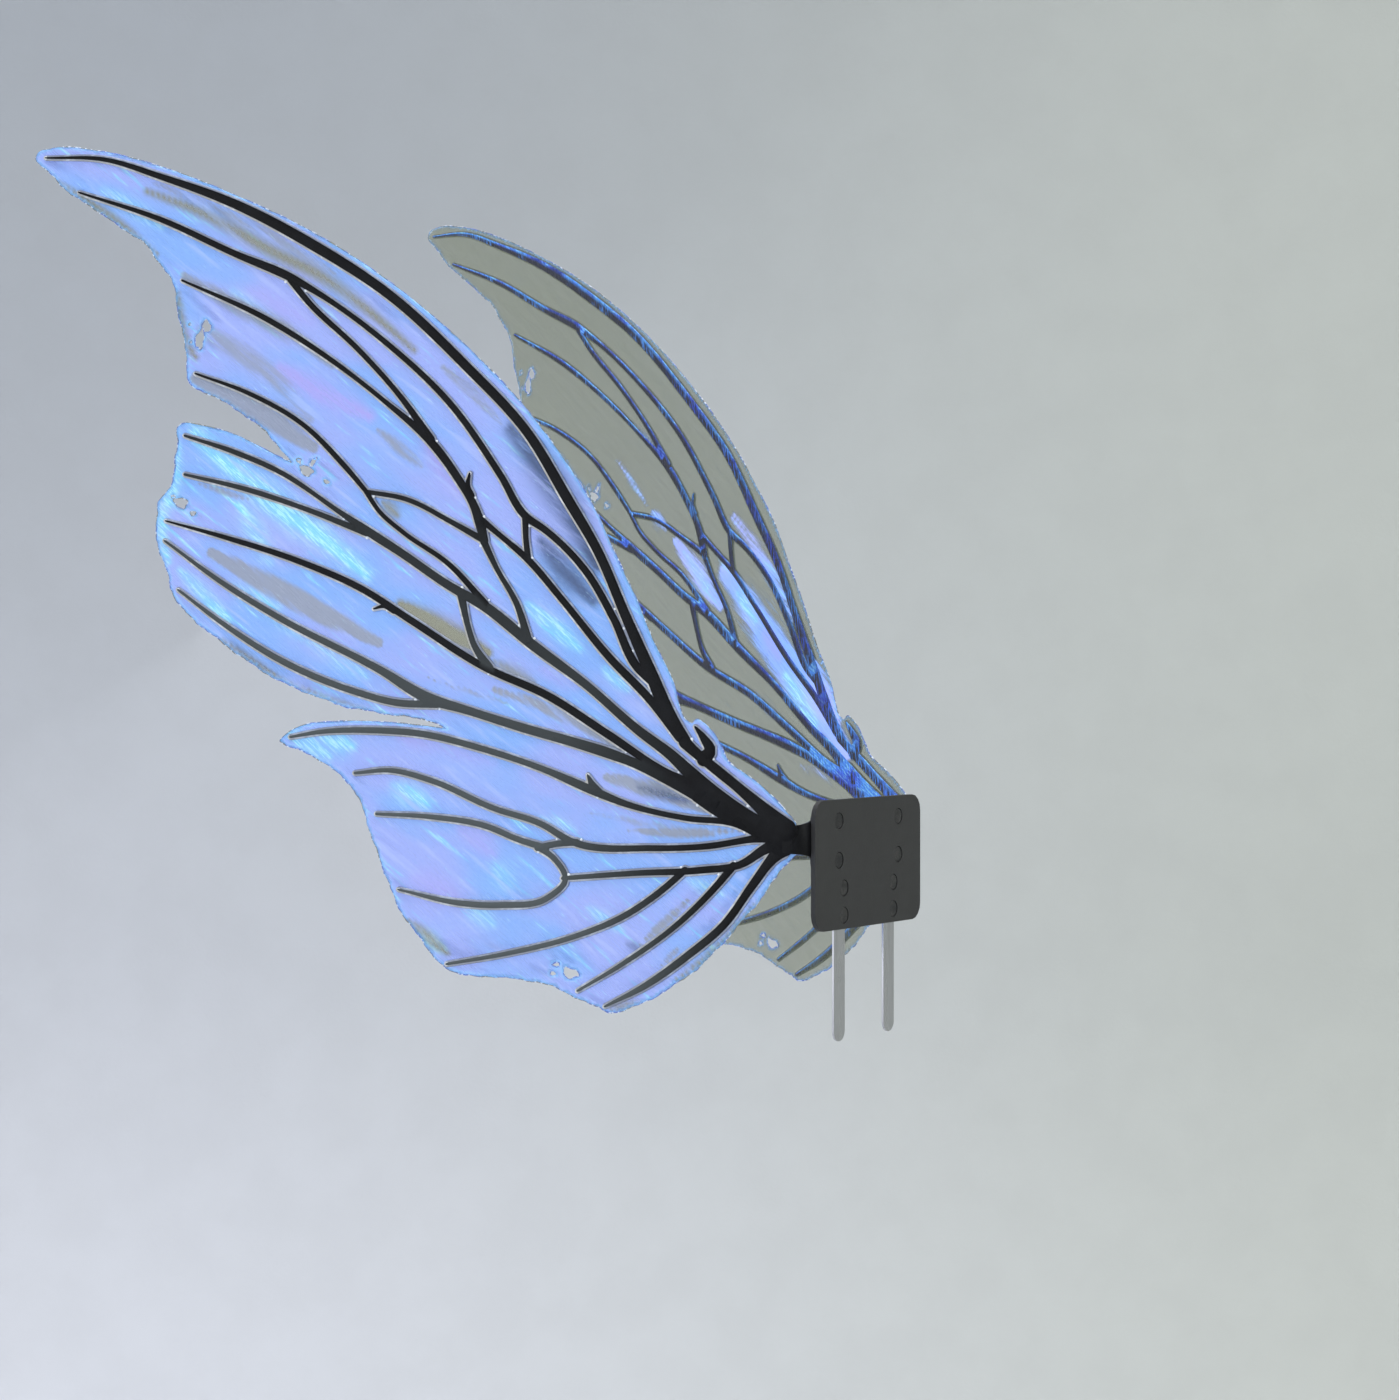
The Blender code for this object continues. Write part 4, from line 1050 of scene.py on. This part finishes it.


# Each side's look; its glow strength is a painted glow, high on the left film to stand in for the light the
# right film keeps off it.
filmLooks = {
    "right": {"first": (0.24, 0.45, 0.92, 1), "second": (0.35, 0.44, 0.90, 1),
              "clearColor": (0.24, 0.24, 0.13, 1), "bodyAlpha": 0.84, "clearAlpha": 0.5, "streaks": 0.75,
              "bareness": 0.0, "coat": 0.25, "metallic": 0.15, "ior": 1.4, "paintedGlow": 0.05},
    "left": {"first": (0.30, 0.50, 1.0, 1), "second": (0.46, 0.54, 1.0, 1),
             "clearColor": (0.24, 0.265, 0.13, 1), "bodyAlpha": 0.88, "clearAlpha": 0.36, "streaks": 0.5,
             "bareness": 1.0, "coat": 0.25, "metallic": 0.1, "ior": 1.4, "paintedGlow": 0.42},
}


grainLooks = {
    "veinBlack": {"color": (0.006, 0.006, 0.007, 1), "worn": (0.016, 0.017, 0.020, 1), "rough": (0.26, 0.38),
                  "grain": 1400.0, "blotch": 60.0, "sockets": {"IOR": 1.17}},
    "neckBlack": {"color": (0.006, 0.006, 0.007, 1), "worn": (0.018, 0.019, 0.022, 1), "rough": (0.26, 0.38),
                  "grain": 1400.0, "sockets": {"IOR": 1.17}},
    "plateBlack": {"color": (0.012, 0.012, 0.013, 1), "worn": (0.028, 0.028, 0.030, 1),
                   "rough": (0.48, 0.66), "grain": 700.0, "blotch": 30.0, "bump": 0.35, "depth": 0.0002},
    "clampBlack": {"color": (0.014, 0.014, 0.016, 1), "worn": (0.035, 0.035, 0.038, 1),
                   "rough": (0.36, 0.52), "grain": 900.0, "blotch": 50.0, "bump": 0.2},
    "screwBlack": {"color": (0.03, 0.03, 0.033, 1), "worn": (0.12, 0.115, 0.11, 1), "rough": (0.3, 0.46),
                   "metallic": 0.85, "grain": 1500.0, "blotch": 120.0, "wear": 0.6},
    "staySteel": {"color": (0.50, 0.50, 0.52, 1), "worn": (0.36, 0.36, 0.38, 1), "rough": (0.24, 0.38),
                  "metallic": 1.0, "grain": 260.0, "blotch": 30.0, "stretch": (6, 6, 0.4), "bump": 0.2},
    # the drops' white is a painted highlight at the forks and vein tips
    "paintedGlintDrop": {"color": (0.86, 0.90, 0.95, 1), "worn": (0.52, 0.60, 0.75, 1), "rough": (0.08, 0.2),
                  "grain": 500.0, "blotch": 25.0, "sockets": {"Coat_Weight": 1.0, "Coat_Roughness": 0.04}},
}
# the grey of the veins' painted sheen
paintedSheenGrey = (0.098, 0.112, 0.116, 1)


# A finish from the wear and grain group on Object coordinates, stretched along the grain.
def grainMaterial(name):
    look = {"metallic": 0.0, "grain": 900.0, "blotch": 40.0, "wear": 0.5, "bump": 0.15, "depth": 0.0001,
            "stretch": (1, 1, 1), "sockets": {}} | grainLooks[name]
    material, tree, shader = newMaterial(name, Metallic=look["metallic"], **look["sockets"])
    place = addNode(tree, "TexCoord").outputs["Object"]
    place = addNode(tree, "Mapping", {"Vector": place, "Scale": look["stretch"]}).outputs[0]
    finish = useGroup(material, wearGrain, {
        "Vector": place, "Color": look["color"], "Worn Color": look["worn"], "Grain Scale": look["grain"],
        "Blotch Scale": look["blotch"], "Wear": look["wear"], "Rough Low": look["rough"][0],
        "Rough High": look["rough"][1]})
    tree.links.new(finish["Color"], shader.inputs["Base Color"])
    tree.links.new(finish["Roughness"], shader.inputs["Roughness"])
    bumped(tree, shader, finish["Height"], look["bump"], look["depth"])
    if name == "veinBlack":  # some veins are grey with a painted sheen, by their painted sheen attribute
        paintedSheen = ramp(tree, attribute(tree, "paintedSheen"), 0.0, 1.0)
        tree.links.new(mixed(tree, paintedSheen, finish["Color"], paintedSheenGrey), shader.inputs["Base Color"])
    return material


finishes = {name: grainMaterial(name) for name in grainLooks}


# Pale welded film along a vein, its light painted: a lit cream colour on edges that face the painted
# light, a faint bluish shaded one on the others, and painted highlights in spots, fainter between.
def sealMaterial():
    material, tree, shader = newMaterial("sealPale", Coat_Weight=0.8, Coat_Roughness=0.1, Roughness=0.3)
    uv = addNode(tree, "UVMap", uv_map="UVMap").outputs[0]
    run = noise(tree, stretchedUv(tree, uv, 16, 16, 0), 1.0, 2.0)
    fine = noise(tree, stretchedUv(tree, uv, 3.5, 3.5, 0), 1.0, 2.0)
    paintedHighlight = ramp(tree, blended(tree, run, 0.65, fine, 0.35), 0.46, 0.68)
    facing = ramp(tree, attribute(tree, "lit"), 0.35, 0.95)
    dim = mixed(tree, paintedHighlight, (0.17, 0.20, 0.30, 1), (0.36, 0.42, 0.55, 1))
    lit = mixed(tree, paintedHighlight, (0.46, 0.45, 0.41, 1), (0.80, 0.80, 0.78, 1))
    tree.links.new(mixed(tree, facing, dim, lit), shader.inputs["Base Color"])
    bumped(tree, shader, fine, 0.3, 0.0003)
    return material


# Film pulled tight over a vein: near black, with painted blue and violet glints along its wrinkles and
# its lit edges.
def skinMaterial():
    material, tree, shader = newMaterial("veinSkin", Coat_Weight=1.0, Coat_Roughness=0.06, Metallic=0.3)
    uv = addNode(tree, "UVMap", uv_map="UVMap").outputs[0]
    wrinkle = noise(tree, stretchedUv(tree, uv, 11, 1.1, 84), 1.0, 3.0, 0.6)
    speck = noise(tree, stretchedUv(tree, uv, 5, 1.2, 35), 1.0, 2.0)
    drift = noise(tree, stretchedUv(tree, uv, 34, 34, 0), 1.0, 2.0)
    lead = attribute(tree, "lead")
    lit = ramp(tree, attribute(tree, "lit"), 0.45, 0.9)
    edge = times(tree, lit, ramp(tree, drift, 0.32, 0.52, 0.35, 1.0))
    edge = times(tree, edge, ramp(tree, speck, 0.3, 0.5, 0.55, 1.0))
    folded = maths(tree, "MAXIMUM", lead, ramp(tree, drift, 0.5, 0.66, 0.0, 0.7))
    fold = times(tree, ramp(tree, wrinkle, 0.5, 0.6), folded)
    paintedGlint = maths(tree, "MAXIMUM", edge, fold)
    color = mixed(tree, ramp(tree, drift, 0.4, 0.6), (0.035, 0.12, 0.96, 1), (0.07, 0.34, 1.0, 1))
    color = mixed(tree, times(tree, edge, ramp(tree, speck, 0.5, 0.66)), color, (0.26, 0.68, 1.0, 1))
    tree.links.new(mixed(tree, paintedGlint, (0.008, 0.010, 0.030, 1), color), shader.inputs["Base Color"])
    # the painted glints also glow as emission
    tree.links.new(mixed(tree, paintedGlint, (0, 0, 0, 1), color), shader.inputs["Emission Color"])
    shader.inputs["Emission Strength"].default_value = 0.15
    tree.links.new(ramp(tree, wrinkle, 0.3, 0.7, 0.18, 0.4), shader.inputs["Roughness"])
    bumped(tree, shader, wrinkle, 0.5, 0.0005)
    return material


# The hot-cut edge: a clear bead, bluish white, olive where it is thick.
def hemMaterial():
    material, tree, shader = newMaterial("hemBead", Coat_Weight=1.0, Coat_Roughness=0.05, Roughness=0.2)
    uv = addNode(tree, "UVMap", uv_map="UVMap").outputs[0]
    run = noise(tree, stretchedUv(tree, uv, 14, 14, 0), 1.0, 3.0)
    fine = noise(tree, stretchedUv(tree, uv, 2.2, 2.2, 0), 1.0, 2.0)
    color = mixed(tree, ramp(tree, run, 0.42, 0.58), (0.16, 0.26, 0.80, 1), (0.30, 0.29, 0.24, 1))
    color = mixed(tree, ramp(tree, fine, 0.52, 0.62), color, (0.75, 0.83, 0.97, 1))
    tree.links.new(color, shader.inputs["Base Color"])
    tree.links.new(ramp(tree, fine, 0.4, 0.6, 0.55, 0.95), shader.inputs["Alpha"])
    return material


# The piece takes this one material.
def dress(piece, material):
    piece.data.materials.clear()
    piece.data.materials.append(material)


finishes |= {"seal": sealMaterial(), "skin": skinMaterial(), "hem": hemMaterial()}
kindFinish = {"veins": "veinBlack", "seal_line": "seal", "vein_skin": "skin", "film_hem": "hem",
              "seal_drops": "paintedGlintDrop"}
for side in sides:
    dress(films[side], filmMaterial(side, filmLooks[side]))
    for kind, finish in kindFinish.items():
        dress(wingPieces[side][kind], finishes[finish])
    dress(necks[side], finishes["neckBlack"])
    dress(clamps[side], finishes["clampBlack"])
    dress(stays[side], finishes["staySteel"])
dress(plate, finishes["plateBlack"])
for piece in (*posts.values(), *screws.values()):
    dress(piece, finishes["screwBlack"])
print("materials made")

flatArea = flatFilmArea()
for side in sides:
    wing = side + "_wing"
    for kind, piece in [("film", films[side]), *wingPieces[side].items()]:
        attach(piece, wing)
    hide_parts(side + "_vein_frame")
    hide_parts(side + "_film")
    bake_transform(necks[side])
    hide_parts(side + "_neck")
    for piece, slot, node in ((clamps[side], "plate_black", "_root_clamp"),
                              (stays[side], "spring_steel", "_stay")):
        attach(piece, "base")
        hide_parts(side + node)
for base in posts:
    for piece, node in ((posts[base], base + "_post"), (screws[base], base + "_screw")):
        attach(piece, "base")
        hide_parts(node)
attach(plate, "base")
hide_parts("back_plate")

room = {"radius": 3.4, "floorZ": -1.35, "coveRadius": 1.0, "wallTop": 4.6,
        "low": (0.70, 0.71, 0.765, 1), "high": (0.44, 0.465, 0.51, 1), "warm": (0.565, 0.585, 0.53, 1)}


# Floor, cove and wall as a profile turned about the upright axis: r and z along it.
def roomBowl():
    bend = np.linspace(0, math.pi / 2, 16)
    inner = room["radius"] - room["coveRadius"]
    cove, floor = room["coveRadius"], room["floorZ"]
    r = np.r_[np.linspace(0.02, inner, 6)[:-1], inner + cove * np.sin(bend), room["radius"]]
    z = np.r_[np.full(5, floor), floor + cove * (1 - np.cos(bend)), room["wallTop"]]
    angle = np.linspace(0, math.tau, 96, endpoint=False)
    points = np.stack([r[:, None] * np.cos(angle), r[:, None] * np.sin(angle),
                       np.repeat(z[:, None], len(angle), 1)], axis=-1).reshape(-1, 3)
    rings = tubeFaces(len(r), len(angle))[:-1]
    bowl = newPiece("room", points, rings, flip=True)
    bowl.data.shade_smooth()
    return bowl


# Pale plaster, lighter and bluer low down and darker high up as painted light and shade, a little
# warmer to one side.
def roomMaterial():
    material, tree, shader = newMaterial("plaster", Roughness=0.9)
    place = addNode(tree, "TexCoord").outputs["Object"]
    parts = addNode(tree, "SeparateXYZ", {0: place}).outputs
    rise = ramp(tree, parts["Z"], -1.3, 1.3)
    color = mixed(tree, rise, room["low"], room["high"])
    sideways = blended(tree, parts["X"], 0.53, parts["Y"], -0.85)
    color = mixed(tree, ramp(tree, sideways, -1.2, 1.2, 0.0, 0.8), color, room["warm"])
    mottle = noise(tree, place, 9.0, 4.0)
    color = mixed(tree, ramp(tree, mottle, 0.3, 0.7, 0.0, 0.06), color, (0.3, 0.3, 0.3, 1))
    tree.links.new(color, shader.inputs["Base Color"])
    bumped(tree, shader, noise(tree, place, 160.0, 3.0), 0.15, 0.002)
    return material


bowl = roomBowl()
dress(bowl, roomMaterial())

lights = {
    "window": {"at": (-2.6, 0.5, 0.35), "to": (-0.1, 0.2, 0.15), "size": 2.4, "watts": 26,
               "tint": (0.93, 0.96, 1.0)},
    "fill": {"at": (0.9, -2.6, 1.4), "to": (0.0, 0.2, 0.1), "size": 2.2, "watts": 35,
             "tint": (1.0, 0.99, 0.96)},
    "behind": {"at": (1.2, 2.6, 1.2), "to": (0.0, 0.2, 0.1), "size": 2.2, "watts": 30,
               "tint": (0.96, 0.98, 1.0)},
    "top": {"at": (-0.2, 0.1, 2.8), "to": (0.0, 0.1, 0.0), "size": 2.6, "watts": 60,
            "tint": (1.0, 1.0, 1.0)},
}
daylight = {"color": (0.93, 0.96, 1.0, 1), "strength": 0.8}


# Place the thing and turn its -Z towards a point.
def aim(thing, at, to):
    direction = Vector((np.array(to) - np.array(at)).tolist())
    thing.location = at
    thing.rotation_euler = direction.to_track_quat("-Z", "Y").to_euler()


for name, light in lights.items():
    lamp = bpy.data.lights.new(name, "AREA")
    lamp.size, lamp.energy, lamp.color = light["size"], light["watts"], light["tint"]
    holder = bpy.data.objects.new(name, lamp)
    bpy.context.collection.objects.link(holder)
    holder.visible_camera = False
    aim(holder, light["at"], light["to"])

world = bpy.data.worlds.new("daylight")
world.use_nodes = True
background = world.node_tree.nodes["Background"].inputs
background["Color"].default_value = daylight["color"]
background["Strength"].default_value = daylight["strength"]
bpy.context.scene.world = world
bpy.context.scene.view_settings.view_transform = "Standard"

view = {"at": (-1.5583, -0.8659, 0.0960), "azimuthDeg": -57.7, "elevationDeg": 0.46, "lens": 77.2}
azimuth, elevation = math.radians(view["azimuthDeg"]), math.radians(view["elevationDeg"])
back = np.array([math.sin(azimuth) * math.cos(elevation), -math.cos(azimuth) * math.cos(elevation),
                 math.sin(elevation)])
eye = bpy.data.cameras.new("eye")
eye.lens, eye.sensor_width, eye.clip_end = view["lens"], 36.0, 60.0
camera = bpy.data.objects.new("eye", eye)
bpy.context.collection.objects.link(camera)
aim(camera, view["at"], tuple(np.array(view["at"]) - back))
bpy.context.scene.camera = camera


print("scene ready")
